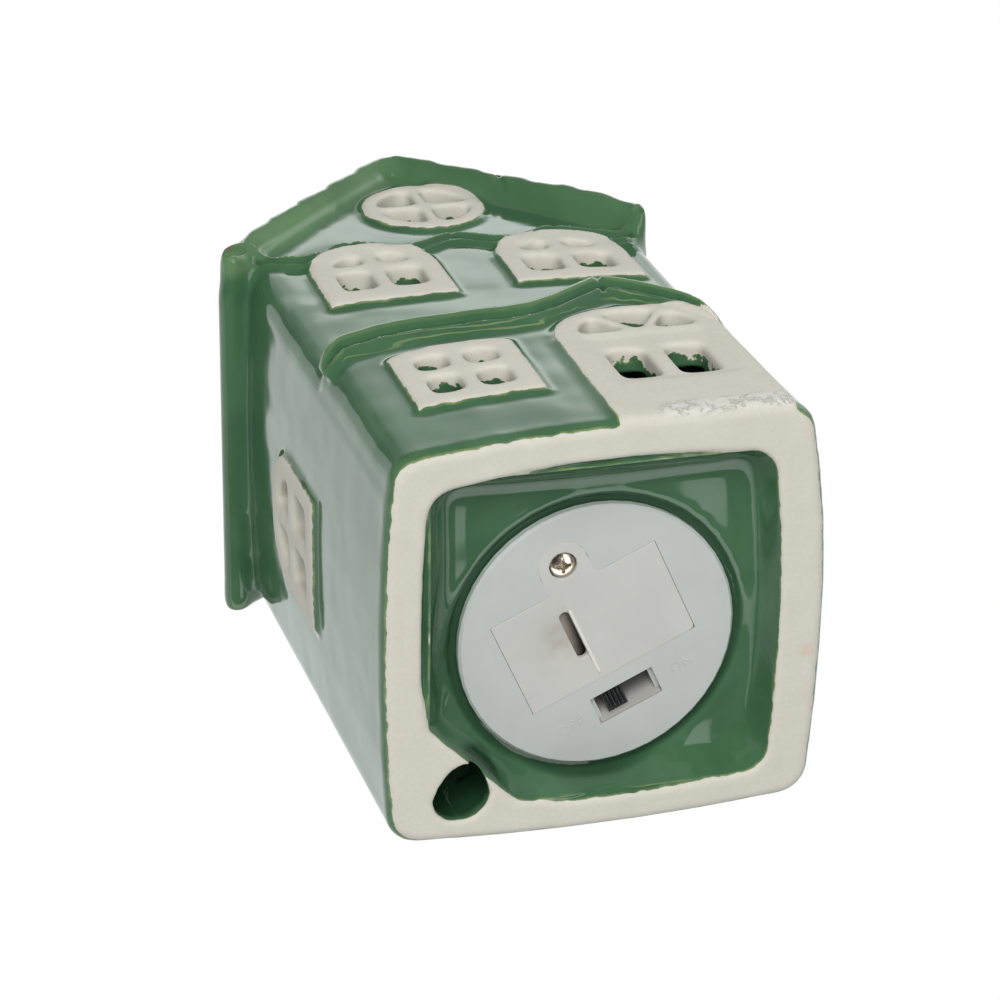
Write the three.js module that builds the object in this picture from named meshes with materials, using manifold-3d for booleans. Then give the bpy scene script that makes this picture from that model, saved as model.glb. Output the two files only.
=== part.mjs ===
// A hollow ceramic house with cut-out windows, lit from inside by a battery light unit
// that sits in a round hole in the floor of the recessed base.
// Millimetres. +Z is up, the front wall faces -Y, and the foot rim stands on z = 0.

import * as THREE from 'three';
import { mergeVertices } from 'three/addons/utils/BufferGeometryUtils.js';
import Module from 'manifold-3d';

const wasm = await Module();
wasm.setup();

// Clearances
const GAP = 0.3;
const OVER = 1;

// Cutting shapes reach this far from the middle, past every wall.
const BEYOND = 60;

// Walls of the house, in plan. Each side bulges outward at its middle, the left wall leans outward and
// the right front corner is drawn in, more so higher up the lower storey.
const SIDE_X = 34.3;
const BACK_Y = 33.3;
const WALL_BULGE = 1.6;
const PLAN_RADIUS = 4;
const PLAN_HALF = 34;
const LOWER_FRONT_Y = -34.6;
const UPPER_FRONT_Y = -29.4;
const UPPER_FRONT_BULGE = 1.3;
const FRONT_TURN = 0.0022;
const RIGHT_TAPER = 2.1;
const RIGHT_LEAN = 0.052;
const LEFT_LEAN = 0.0175;
const WALL = 4.4;
const FOOT_ROUND = 1.2;
const LOWER_ROOM_TOP = 35;
const SLAB_TOP = 70;

// Roof. Its two top lines meet a little above the rounded ridge.
const HOUSE_HEIGHT = 127.6;
const RIDGE_X = -2.2;
const RIDGE_Z = HOUSE_HEIGHT + 1.2;
const ROOF_LEFT_SPAN = 40.2;
const ROOF_RIGHT_SPAN = 38.6;
const ROOF_PITCH = 44.7;
const ROOF_THICK = 4.2;
const ROOF_FRONT_Y = -34.4;
const ROOF_FRONT_SKEW = -0.018;
const ROOF_BACK_Y = 34.6;
const SHINGLE_STEP = 0.9;
const SHINGLE_PITCH = 9.5;
const SHINGLE_ROWS = 5;

// Ledge across the front between the storeys, rising to a small pediment over the door
const LEDGE_PROUD = 1.5;
const LEDGE_HEIGHT = 4.4;
const LEDGE_STEP_PROUD = 0.6;
const LEDGE_STEP_HEIGHT = 6.4;
const SLAB_DROP = 0.8;
const LEDGE_TRIM = [[-BEYOND, -BEYOND], [7, -BEYOND], [31.8, -31.4], [31.8, -30.4], [-BEYOND, -30.4]];
const LEDGE_PATH = [[-40, 38.5], [-36.5, 40.6], [-34.5, 43.2], [-31.6, 45.4], [-24.7, 46.8], [-16.7, 46.5],
  [-4.6, 46], [0.2, 46.8], [4.8, 49], [9.1, 52], [13.2, 54.7], [15.3, 54.9], [18.6, 52.8], [22.4, 49.1],
  [25, 46.2], [26.9, 43.2], [28.4, 39.6], [30.5, 35], [40, 30]];

// Wavy ledge under the gable
const WAVE_PROUD = 1.4;
const WAVE_HEIGHT = 3.2;
const WAVE_BACK_Y = -24;
const WAVE_TOP_Z = RIDGE_Z - 38;
const WAVE_RISE = 1.9;
const WAVE_LENGTH = 18.3;
const WAVE_CREST_X = 0.3;

// Windows: place along the wall, sill height, width, height, height of the curved top, depth of the
// bottom border and the middle of the cross bar above the sill
const FRAME_PROUD = 1.1;
const FRAME_BORDER = 4;
const BAR = 3.6;
const LEFT_WINDOW = { at: -16.5, sill: 66.2, w: 22, h: 24.5, rise: 9.5, foot: 5.6, bar: 14.6 };
const RIGHT_WINDOW = { at: 16.5, sill: 68, w: 22.6, h: 22, rise: 9, foot: 4.6, bar: 12.8 };
const SQUARE_WINDOW = { at: -16.1, sill: 14.8, w: 20.4, h: 21.8, rise: 2, foot: 4.4, bar: 11.6 };
const SIDE_WINDOW = { at: 3.6, sill: 39.5, w: 23.4, h: 27, rise: 9.5, foot: 4.6, bar: 14.4 };
const ROUND_WINDOW = { x: -0.9, z: RIDGE_Z - 21.7, r: 10.9, border: 3, bar: 2.6 };

// Door
const DOOR = { w: 28.4, h: 44.3, rise: 11 };
const DOOR_X = 15.3;
const DOOR_PROUD = 0.7;
const DOOR_PANEL = { w: 20.4, low: 14.4, high: 33, deep: 0.6 };
const DOOR_PANE = { w: 5.5, low: 17.1, high: 27.7, pitch: 9.6 };
const FAN = { w: 18.8, low: 34.8, high: 42.2, bar: 2.4, spread: 33 };

// Recess under the base
const RECESS = { left: -28.2, right: 26.9, front: -27.4, back: 28.2, bulge: 1.6, radius: 3.5 };
const RECESS_DEPTH = 7;
const RECESS_DRAFT = 2.8;
const RECESS_CORNER_CUT = 30;
const FLOOR = 4;
const DRAIN = [[-22.7, 20.4], [-20.6, 21.2], [-19.2, 23.4], [-18.4, 26.4], [-19.4, 28.6], [-22, 30.4],
  [-24.8, 30.4], [-27, 28.8], [-27.7, 26.6], [-26.8, 24.2], [-24.8, 21.4]];

// Light unit: a flanged cup turned in the floor hole
const UNIT = { x: 0.4, y: 4.1, faceZ: 6.3, turn: -24.5 };
const FLANGE_R = 22.5;
const FLANGE_T = 1.5;
const CUP_R = 19;
const CUP_WALL = 1.3;
const CUP_TOP = 18;
const CAP_T = 1.4;
const CAP_EDGE = 0.5;
const CAP_NECK = { wide: 2.4, narrow: 2, high: 1.6 };
const CAP_SKIRT = { t: 1, deep: 2.4 };
const LAMP_SUNK = 0.6;
const SEAT_R = 24;
const HOLE_R = CUP_R + 0.5;

// Battery bay, measured from the unit's centre. The cells lie in one row along the bay.
const CELL_R = 5.8;
const CELL_T = 5.4;
const CELL_COUNT = 3;
const CELL_FLOOR = 1.9;
const BAY = { x: 10.9, y: -1.6, half: 6.4, wall: 1, roof: 1 };
const BAY_TOP = CELL_FLOOR + 2 * CELL_R + 0.5;
const HATCH = { w: 29, h: 17.6, t: 1.3, tabR: 4.1, tabY: -14.1 };
const HATCH_SLOT = { x: -3.3, y: -2, w: 1.7, h: 9 };
const THUMB_DEEP = 0.7;
const HATCH_RIM = 1.6;
const CONTACT_TAB = { low: 11.8, high: 12.8, w: 2.4, out: 0.8 };
const CONTACT = { t: 0.4, half: 4, bump: 1.2, bumpOut: 0.6, leaf: 1.5, leafTip: 0.6, leafT: 0.5 };
const CELL_SHIFT = 0.9;

// Screw that holds the hatch
const SCREW = { headR: 2.1, headT: 0.9, shankR: 1, length: 7.4, sunk: 0.2 };
const BOSS_R = 2.3;
const BOSS_TOP = 10;

// Slide switch
const SWITCH_Y = 12.3;
const SWITCH_WINDOW = { w: 11, h: 5, top: 2.4 };
const PLATE = { w: 14.4, h: 5.6, t: 0.35, z: 2.7 };
const SHELL = { w: 8.6, h: 4.4, t: 0.35, high: 3.4 };
const KNOB = { w: 3.3, h: 3.6, x: -1.75, top: 0.7, shoe: 1.1, stemW: 2.2, stemH: 2 };
const KNOB_TRAVEL = 3.5;
const SWITCH_BASE_T = 0.8;
const PIN = { w: 0.6, t: 0.4, pitch: 2.5, length: 2.6 };

// Lamp
const LAMP = { r: 2.5, rimR: 2.9, rimT: 1, high: 8.6, x: 0, y: 0 };
const LEAD = 0.5;
const LEAD_PITCH = 2.54;
const WIRE_R = 0.5;
const RESISTOR = { r: 0.9, length: 3.6, x: -3.5, y: 3, stub: 1 };
const RED_BOW = { aside: 5.4, turnX: 9, turnY: 2, down: 0.9, over: 2.6, up: 1.6 };
const BLACK_BOW = { away: 2.2, aside: 2.6, up: 3.3, near: 0.8 };

const paint = (color, roughness, metalness = 0) => new THREE.MeshStandardMaterial(
  { color, roughness, metalness });
const GLAZE = paint(0x4f8a5c, 0.12);
const WHITE = paint(0xd8dcda, 0.45);
const STEEL = paint(0xb9b6ae, 0.3, 1);
const NICKEL = paint(0xa89b88, 0.28, 1);
const BLACK = paint(0x151515, 0.5);
const BROWN = paint(0x8a6a3c, 0.6);
const LENS = paint(0xf4efe0, 0.2);
const RED = paint(0xa02018, 0.5);
const COPPER = paint(0xc9a27a, 0.35, 1);
const SAND = paint(0xc8ab7c, 0.55);

function solid(geometry) {
  const bare = geometry.clone();
  bare.deleteAttribute('normal');
  bare.deleteAttribute('uv');
  const merged = mergeVertices(bare, 1e-5);
  const vertProperties = new Float32Array(merged.attributes.position.array);
  const triVerts = new Uint32Array(merged.index.array);
  return new wasm.Manifold(new wasm.Mesh({ numProp: 3, vertProperties, triVerts }));
}

function piece(name, shape, material) {
  const data = shape.getMesh();
  const indexed = new THREE.BufferGeometry();
  indexed.setAttribute('position', new THREE.BufferAttribute(new Float32Array(data.vertProperties), 3));
  indexed.setIndex(new THREE.BufferAttribute(new Uint32Array(data.triVerts), 1));
  const geometry = indexed.toNonIndexed();
  geometry.computeVertexNormals();
  const mesh = new THREE.Mesh(geometry, material);
  mesh.name = name;
  return mesh;
}

const outline = (points) => new THREE.Shape(points.map(([a, b]) => new THREE.Vector2(a, b)));

function extruded(points, length) {
  return new THREE.ExtrudeGeometry(outline(points), { depth: length, bevelEnabled: false, steps: 1 });
}

// Prism standing along Z between two heights, from [x, y] points.
function prismZ(points, z0, z1) {
  return solid(extruded(points, z1 - z0).translate(0, 0, z0));
}

// Prism lying along Y between two depths, from [x, z] points.
function prismY(points, y0, y1) {
  return solid(extruded(points, y1 - y0).rotateX(Math.PI / 2).translate(0, y1, 0));
}

// Prism lying along X, from [y, z] points.
function prismX(points, x0, x1) {
  const axes = new THREE.Matrix4().makeBasis(
    new THREE.Vector3(0, 1, 0), new THREE.Vector3(0, 0, 1), new THREE.Vector3(1, 0, 0));
  return solid(extruded(points, x1 - x0).applyMatrix4(axes).translate(x0, 0, 0));
}

const block = (x0, x1, y0, y1, z0, z1) => solid(
  new THREE.BoxGeometry(x1 - x0, y1 - y0, z1 - z0).translate((x0 + x1) / 2, (y0 + y1) / 2, (z0 + z1) / 2));

// Turned solid about the Z axis through [x, y], from [radius, z] points.
function turned(profile, x, y, segments) {
  const points = profile.map(([r, z]) => new THREE.Vector2(r, z));
  return solid(new THREE.LatheGeometry(points, segments).rotateX(Math.PI / 2)
    .translate(x, y, 0));
}

const rod = (x, y, r, z0, z1, segments = 24) => solid(
  new THREE.CylinderGeometry(r, r, z1 - z0, segments).rotateX(Math.PI / 2).translate(x, y, (z0 + z1) / 2));

// Square rod along a line of points.
function wireAlong(points, width) {
  const h = width / 2;
  const path = new THREE.CurvePath();
  const at = points.map((p) => new THREE.Vector3(...p));
  for (let i = 1; i < at.length; i += 1) path.add(new THREE.LineCurve3(at[i - 1], at[i]));
  const section = outline([[-h, -h], [h, -h], [h, h], [-h, h]]);
  return solid(new THREE.ExtrudeGeometry(section, { steps: 4 * (at.length - 1), extrudePath: path }));
}

// Round wire along a smooth curve through points.
function wireCurve(points, r, steps) {
  const path = new THREE.CatmullRomCurve3(points.map((p) => new THREE.Vector3(...p)));
  const section = new THREE.Shape().absarc(0, 0, r, 0, Math.PI * 2);
  return solid(new THREE.ExtrudeGeometry(section, { steps, curveSegments: 3, extrudePath: path }));
}

// Closed stack of rings with the same number of points each.
function stack(rings) {
  const count = rings[0].points.length;
  const vertices = rings.flatMap(({ points, z }) => points.map(([x, y]) => [x, y, z])).flat();
  const faces = [];
  for (let k = 0; k + 1 < rings.length; k += 1) {
    for (let i = 0; i < count; i += 1) {
      const a = k * count + i;
      const b = k * count + (i + 1) % count;
      faces.push(a, b, b + count, a, b + count, a + count);
    }
  }
  const cap = (ring) => THREE.ShapeUtils.triangulateShape(
    ring.points.map(([x, y]) => new THREE.Vector2(x, y)), []);
  const top = (rings.length - 1) * count;
  cap(rings[0]).forEach(([a, b, c]) => faces.push(c, b, a));
  cap(rings[rings.length - 1]).forEach(([a, b, c]) => faces.push(top + a, top + b, top + c));
  const geometry = new THREE.BufferGeometry();
  geometry.setAttribute('position', new THREE.Float32BufferAttribute(vertices, 3));
  geometry.setIndex(faces);
  return solid(geometry);
}

// Rounded rectangle whose sides bulge, counter-clockwise.
function plan(left, right, front, back, radius, bulge, frontBulge = bulge) {
  const corners = [[right - radius, front + radius, -90], [right - radius, back - radius, 0],
    [left + radius, back - radius, 90], [left + radius, front + radius, 180]];
  const raw = [];
  corners.forEach(([cx, cy, start], k) => {
    for (let i = 0; i <= 4; i += 1) {
      const angle = THREE.MathUtils.degToRad(start + 22.5 * i);
      raw.push([cx + radius * Math.cos(angle), cy + radius * Math.sin(angle)]);
    }
    const [x0, y0] = raw[raw.length - 1];
    const [nx, ny, next] = corners[(k + 1) % 4];
    const turn = THREE.MathUtils.degToRad(next);
    const [x1, y1] = [nx + radius * Math.cos(turn), ny + radius * Math.sin(turn)];
    for (let i = 1; i < 5; i += 1) raw.push([x0 + (x1 - x0) * i / 5, y0 + (y1 - y0) * i / 5]);
  });
  const [mx, my, hx, hy] = [(left + right) / 2, (front + back) / 2, (right - left) / 2, (back - front) / 2];
  return raw.map(([x, y]) => {
    const [u, v] = [(x - mx) / hx, (y - my) / hy];
    const out = v < 0 ? frontBulge : bulge;
    return [x + bulge * (1 - (y / PLAN_HALF) ** 2) * u, y + out * (1 - u * u) * v];
  });
}

// Share of the way from the middle of the house to its front.
const frontShare = (y) => Math.max(0, y / LOWER_FRONT_Y);

// Draws the right front corner in.
const drawRight = (amount) => ([x, y]) => [x - amount * frontShare(y) ** 2 * Math.max(0, x) / SIDE_X, y];

// Turns the left half of the front back.
const turnFront = ([x, y]) => [x, y + FRONT_TURN * frontShare(y) * Math.min(0, x) ** 2];

// Walls in plan at a height, moved inward by a distance.
const lowerPlan = (inset, z) => plan(-SIDE_X - LEFT_LEAN * z + inset, SIDE_X - inset,
  LOWER_FRONT_Y + inset, BACK_Y - inset, PLAN_RADIUS - inset / 2, WALL_BULGE, 0)
  .map(drawRight(RIGHT_TAPER + RIGHT_LEAN * z)).map(turnFront);
const upperPlan = (inset, z) => plan(-SIDE_X - LEFT_LEAN * z + inset, SIDE_X - inset,
  UPPER_FRONT_Y + inset, BACK_Y - inset, PLAN_RADIUS - inset / 2, WALL_BULGE, UPPER_FRONT_BULGE)
  .map(drawRight(RIGHT_TAPER));

// Space inside a wall plan moved inward by a distance, between two heights.
const within = (wallPlan, inset, z0, z1) => stack([z0, z1].map((z) => ({ points: wallPlan(inset, z), z })));

const ROOF_ANGLE = THREE.MathUtils.degToRad(ROOF_PITCH);
const ROOF_SLOPE = Math.tan(ROOF_ANGLE);
const ROOF_DROP = ROOF_THICK / Math.cos(ROOF_ANGLE);
const roofSpan = (side) => (side < 0 ? ROOF_LEFT_SPAN : ROOF_RIGHT_SPAN);
const roofZ = (x) => RIDGE_Z - Math.abs(x - RIDGE_X) * ROOF_SLOPE;

// Space under the roof lines, lowered by a distance, as an [x, z] outline.
function underRoof(lower) {
  const far = ROOF_LEFT_SPAN + 10;
  return [[RIDGE_X - far, -OVER], [RIDGE_X + far, -OVER], [RIDGE_X + far, roofZ(RIDGE_X + far) - lower],
    [RIDGE_X, RIDGE_Z - lower], [RIDGE_X - far, roofZ(RIDGE_X - far) - lower]];
}

// Point of a roof slope, from the eave up along it and out from its top face.
function onSlope(side, along, lift) {
  const [c, s] = [Math.cos(ROOF_ANGLE), Math.sin(ROOF_ANGLE)];
  const down = roofSpan(side) / c - along;
  return [RIDGE_X + side * (down * c + lift * s), RIDGE_Z - down * s + lift * c];
}

// One slope of the roof's outer line from the eave to the ridge: each shingle row overlaps the one below.
function shingleLine(side) {
  const length = roofSpan(side) / Math.cos(ROOF_ANGLE);
  const first = length - SHINGLE_PITCH * (SHINGLE_ROWS - 1) - 1;
  const points = [onSlope(side, 1, 0)];
  for (let row = 0; row < SHINGLE_ROWS; row += 1) {
    const start = row === 0 ? 2.2 : first + SHINGLE_PITCH * (row - 1);
    const end = row === SHINGLE_ROWS - 1 ? length - 1.6 : first + SHINGLE_PITCH * row;
    points.push(onSlope(side, start + 0.3, SHINGLE_STEP), onSlope(side, end - 0.3, 0.15));
  }
  return points;
}

function roofSlab() {
  const cut = 1.2;
  const edge = (side) => [onSlope(side, 0, -cut), onSlope(side, 0, cut - ROOF_THICK),
    onSlope(side, cut, -ROOF_THICK)];
  const profile = [...shingleLine(-1), ...shingleLine(1).reverse(), ...edge(1),
    [RIDGE_X, RIDGE_Z - ROOF_DROP], ...edge(-1).reverse()].reverse();
  const slab = prismY(profile, ROOF_FRONT_Y - 2, ROOF_BACK_Y);
  const [x0, x1] = [RIDGE_X - ROOF_LEFT_SPAN - 5, RIDGE_X + ROOF_RIGHT_SPAN + 5];
  const front = (x) => ROOF_FRONT_Y + ROOF_FRONT_SKEW * x;
  const trim = prismZ([[x0, ROOF_FRONT_Y - 9], [x1, ROOF_FRONT_Y - 9], [x1, front(x1)], [x0, front(x0)]],
    0, RIDGE_Z + 9);
  return slab.subtract(trim);
}

// Window or door outline standing on a sill: straight sides and a curved top.
function arch({ w, h, rise }, inset = 0, foot = inset) {
  const half = w / 2 - inset;
  const top = h - inset;
  const curve = Math.max(rise - inset * 0.75, 0.8);
  const points = [[-half, foot], [half, foot]];
  for (let i = 0; i <= 10; i += 1) {
    const angle = Math.PI * i / 10;
    const bend = Math.abs(Math.cos(angle)) ** 0.9 * Math.sign(Math.cos(angle));
    points.push([half * bend, top - curve + curve * Math.sin(angle) ** 0.95]);
  }
  return points;
}

const moved = (points, dx, dz) => points.map(([a, b]) => [a + dx, b + dz]);
const box = (a0, a1, b0, b1) => [[a0, b0], [a1, b0], [a1, b1], [a0, b1]];

const circle = (r, count) => Array.from({ length: count }, (_, i) => {
  const angle = 2 * Math.PI * i / count;
  return [r * Math.cos(angle), r * Math.sin(angle)];
});

// Panes of a window: the inside of its frame less the two crossing bars.
function panes(window, make) {
  const put = (points) => make(moved(points, window.at, window.sill));
  return put(arch(window, FRAME_BORDER, window.foot))
    .subtract(put(box(-BAR / 2, BAR / 2, 0, window.h)))
    .subtract(put(box(-window.w, window.w, window.bar - BAR / 2, window.bar + BAR / 2)));
}

// Band along the ledge line of a height, standing out from the lower storey.
function ledgeBand(height, proud) {
  const lower = [...LEDGE_PATH].reverse().map(([x, z]) => [x, z - height]);
  const band = prismY([...LEDGE_PATH, ...lower].reverse(), -BEYOND, 0);
  return band.intersect(within(lowerPlan, -proud, 0, SLAB_TOP)).intersect(prismZ(LEDGE_TRIM, 0, SLAB_TOP));
}

const ledge = () => ledgeBand(LEDGE_HEIGHT, LEDGE_PROUD).add(ledgeBand(LEDGE_STEP_HEIGHT, LEDGE_STEP_PROUD));

const standing = (wallPlan, top) => stack([{ points: wallPlan(FOOT_ROUND, 0), z: 0 },
  { points: wallPlan(0, FOOT_ROUND), z: FOOT_ROUND }, { points: wallPlan(0, top), z: top }]);

// Lower storey, which stands proud of the upper front wall.
function frontSlab() {
  const top = [...LEDGE_PATH].reverse().map(([x, z]) => [x, z - SLAB_DROP]);
  const under = [[-BEYOND, -OVER], [BEYOND, -OVER], ...top];
  return standing(lowerPlan, SLAB_TOP).intersect(prismY(under, -BEYOND, UPPER_FRONT_Y + WALL));
}

function waveLedge() {
  const end = SIDE_X + 4;
  const top = Array.from({ length: 41 }, (_, i) => -end + i * end / 20)
    .map((x) => [x, WAVE_TOP_Z + WAVE_RISE * Math.cos(2 * Math.PI * (x - WAVE_CREST_X) / WAVE_LENGTH)]);
  const bottom = [...top].reverse().map(([x, z]) => [x, z - WAVE_HEIGHT]);
  return prismY([...top, ...bottom].reverse(), -BEYOND, WAVE_BACK_Y)
    .intersect(within(upperPlan, -WAVE_PROUD, 0, RIDGE_Z))
    .intersect(prismY(underRoof(ROOF_DROP / 2), -BEYOND, BEYOND));
}

// Hollow inside of the house, above its floor.
function cavity() {
  const under = prismY(underRoof(ROOF_DROP + 0.5), -BEYOND, BEYOND);
  const bottom = RECESS_DEPTH + FLOOR;
  return within(upperPlan, WALL, bottom, RIDGE_Z).intersect(under)
    .add(within(lowerPlan, WALL, bottom, LOWER_ROOM_TOP));
}

function recess() {
  const side = (inset) => plan(RECESS.left + inset, RECESS.right - inset, RECESS.front + inset,
    RECESS.back - inset, RECESS.radius, RECESS.bulge)
    .map(drawRight(RIGHT_TAPER)).map(turnFront)
    .map(([x, y]) => {
      const over = Math.max(0, (y - x) / Math.SQRT2 - RECESS_CORNER_CUT + inset);
      return [x + over / Math.SQRT2, y - over / Math.SQRT2];
    });
  const slope = RECESS_DRAFT / RECESS_DEPTH;
  return stack([{ points: side(-slope * OVER), z: -OVER },
    { points: side(RECESS_DRAFT * 0.75), z: RECESS_DEPTH - 1.2 },
    { points: side(RECESS_DRAFT + 0.9), z: RECESS_DEPTH }]);
}

// Frames and openings of the framed windows. Each frame stands out from its wall by the same amount.
function windows() {
  const upper = within(upperPlan, -FRAME_PROUD, 0, RIDGE_Z);
  const lower = within(lowerPlan, -FRAME_PROUD, 0, SLAB_TOP);
  const ahead = (points) => prismY(points, -BEYOND, UPPER_FRONT_Y + WALL + 4);
  const left = (points) => prismX(points, -BEYOND, -SIDE_X + WALL + 2);
  const right = (points) => prismX(points, SIDE_X - WALL - 2, BEYOND);
  const wanted = [[LEFT_WINDOW, ahead, upper], [RIGHT_WINDOW, ahead, upper], [SQUARE_WINDOW, ahead, lower],
    [SIDE_WINDOW, left, upper], [SIDE_WINDOW, right, upper]];
  return {
    frames: wanted.map(([window, make, skin]) => make(moved(arch(window), window.at, window.sill))
      .intersect(skin)),
    openings: wanted.map(([window, make]) => panes(window, make)),
  };
}

function roundWindow() {
  const { x, z, r, border, bar } = ROUND_WINDOW;
  const cut = (points, y1) => prismY(moved(points, x, z), -BEYOND, y1);
  const skin = within(upperPlan, -FRAME_PROUD, 0, RIDGE_Z);
  const frame = cut(circle(r, 28), UPPER_FRONT_Y + 2).intersect(skin);
  const opening = cut(circle(r - border, 24), UPPER_FRONT_Y + WALL + 4)
    .subtract(cut(box(-bar / 2, bar / 2, -r, r), 0))
    .subtract(cut(box(-r, r, -bar / 2, bar / 2), 0));
  return { frame, opening };
}

// Bar of the fan light that leans to one side.
function spoke(side) {
  const lean = THREE.MathUtils.degToRad(90 - side * FAN.spread);
  const [dx, dz] = [Math.cos(lean), Math.sin(lean)];
  const [px, pz] = [dz * FAN.bar / 2, -dx * FAN.bar / 2];
  const [x, z, far] = [DOOR_X, FAN.low - 2, 16];
  return [[x - px, z - pz], [x + px, z + pz], [x + px + far * dx, z + pz + far * dz],
    [x - px + far * dx, z - pz + far * dz]];
}

function doorway() {
  const skin = stack([{ points: lowerPlan(FOOT_ROUND / 2, 0), z: 0 },
    { points: lowerPlan(-DOOR_PROUD, FOOT_ROUND), z: FOOT_ROUND },
    { points: lowerPlan(-DOOR_PROUD, SLAB_TOP), z: SLAB_TOP }]);
  const slab = prismY(moved(arch(DOOR, 0, 0), DOOR_X, 0), -BEYOND, LOWER_FRONT_Y + 2).intersect(skin);
  const rect = (x, w, low, high) => box(x - w / 2, x + w / 2, low, high);
  const panel = prismY(rect(DOOR_X, DOOR_PANEL.w, DOOR_PANEL.low, DOOR_PANEL.high), -BEYOND,
    LOWER_FRONT_Y - DOOR_PROUD + DOOR_PANEL.deep);
  const through = (points) => prismY(points, -BEYOND, UPPER_FRONT_Y + WALL + 3);
  const lower = [-1, 1].map((side) => through(rect(DOOR_X + side * DOOR_PANE.pitch / 2, DOOR_PANE.w,
    DOOR_PANE.low, DOOR_PANE.high)));
  const fan = through(Array.from({ length: 13 }, (_, i) => Math.PI * i / 12).map((angle) => [
    DOOR_X + FAN.w / 2 * Math.cos(angle), FAN.low + (FAN.high - FAN.low) * Math.sin(angle)]));
  return { slab, cuts: [panel, ...lower, fan.subtract(through(spoke(-1))).subtract(through(spoke(1)))] };
}

function houseBody() {
  const walls = standing(upperPlan, RIDGE_Z + 5)
    .intersect(prismY(underRoof(ROOF_DROP / 2), -BEYOND, BEYOND));
  const { frames, openings } = windows();
  const round = roundWindow();
  const door = doorway();
  const floorHole = rod(UNIT.x, UNIT.y, HOLE_R, 0, 20, 40);
  const seat = rod(UNIT.x, UNIT.y, SEAT_R, 0, UNIT.faceZ + FLANGE_T + GAP, 40);
  const drain = prismZ(DRAIN, -OVER, RECESS_DEPTH + FLOOR + OVER);
  const parts = [roofSlab(), frontSlab(), ledge(), waveLedge(), ...frames, round.frame, door.slab];
  const cuts = [cavity(), recess(), seat, floorHole, drain, ...openings, round.opening, ...door.cuts];
  const whole = parts.reduce((shape, part) => shape.add(part), walls);
  return cuts.reduce((shape, part) => shape.subtract(part), whole);
}

const hatchOutline = (grow) => {
  const [x, y0, y1] = [HATCH.w / 2 + grow, BAY.y - HATCH.h / 2 - grow, BAY.y + HATCH.h / 2 + grow];
  const tab = Array.from({ length: 9 }, (_, i) => Math.PI * (1 + i / 8)).map((angle) => [
    (HATCH.tabR + grow) * Math.cos(angle), HATCH.tabY + (HATCH.tabR + grow) * Math.sin(angle)]);
  return [[-x, y0], [tab[0][0], y0], ...tab, [tab[tab.length - 1][0], y0], [x, y0], [x, y1], [-x, y1]];
};

// Solder tab of a battery contact, passing through the end wall of the bay.
function contactTab(side, grow = 0) {
  const [a, b] = [BAY.x - GAP - 0.2, BAY.x + BAY.wall + CONTACT_TAB.out];
  return block(Math.min(side * a, side * b), Math.max(side * a, side * b),
    BAY.y - CONTACT_TAB.w / 2 - grow, BAY.y + CONTACT_TAB.w / 2 + grow,
    CONTACT_TAB.low - grow, CONTACT_TAB.high + grow);
}

function unitHousing() {
  const inner = CUP_R - CUP_WALL;
  const shell = turned([[0, 0], [FLANGE_R - 0.4, 0], [FLANGE_R, 0.4], [FLANGE_R, FLANGE_T], [CUP_R, FLANGE_T],
    [CUP_R, CUP_TOP], [inner, CUP_TOP], [inner, FLANGE_T], [0, FLANGE_T]], 0, 0, 48);
  const w = BAY.wall;
  const bay = block(-BAY.x - w, BAY.x + w, BAY.y - BAY.half - w, BAY.y + BAY.half + w, 1,
    BAY_TOP + BAY.roof);
  const ledgeBlock = prismZ(hatchOutline(HATCH_RIM), 0.8, HATCH.t + GAP + HATCH_RIM);
  const inside = rod(0, 0, CUP_R - 0.4, -OVER, CUP_TOP, 48);
  const boss = rod(0, HATCH.tabY, BOSS_R, 1, BOSS_TOP, 20);
  const collar = block(-SWITCH_WINDOW.w / 2 - 1, SWITCH_WINDOW.w / 2 + 1, SWITCH_Y - SWITCH_WINDOW.h / 2 - 1,
    SWITCH_Y + SWITCH_WINDOW.h / 2 + 1, 1, SWITCH_WINDOW.top);
  const added = [bay, ledgeBlock.intersect(inside), boss, collar];
  let housing = shell;
  added.forEach((part) => { housing = housing.add(part); });
  const cuts = [prismZ(hatchOutline(0), -OVER, HATCH.t + GAP),
    block(-BAY.x, BAY.x, BAY.y - BAY.half, BAY.y + BAY.half, 0, BAY_TOP),
    block(-SWITCH_WINDOW.w / 2, SWITCH_WINDOW.w / 2, SWITCH_Y - SWITCH_WINDOW.h / 2,
      SWITCH_Y + SWITCH_WINDOW.h / 2, -OVER, 5),
    rod(0, HATCH.tabY, SCREW.shankR + GAP, -OVER, BOSS_TOP - 1, 16),
    ...[-1, 1].map((side) => contactTab(side, GAP))];
  cuts.forEach((part) => { housing = housing.subtract(part); });
  [-1, 1].forEach((side) => {
    const peg = [side * (PLATE.w / 2 - 1.4), SWITCH_Y];
    housing = housing.add(block(peg[0] - 1, peg[0] + 1, peg[1] - 2, peg[1] + 2, 1, PLATE.z - GAP));
  });
  return housing;
}

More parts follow.
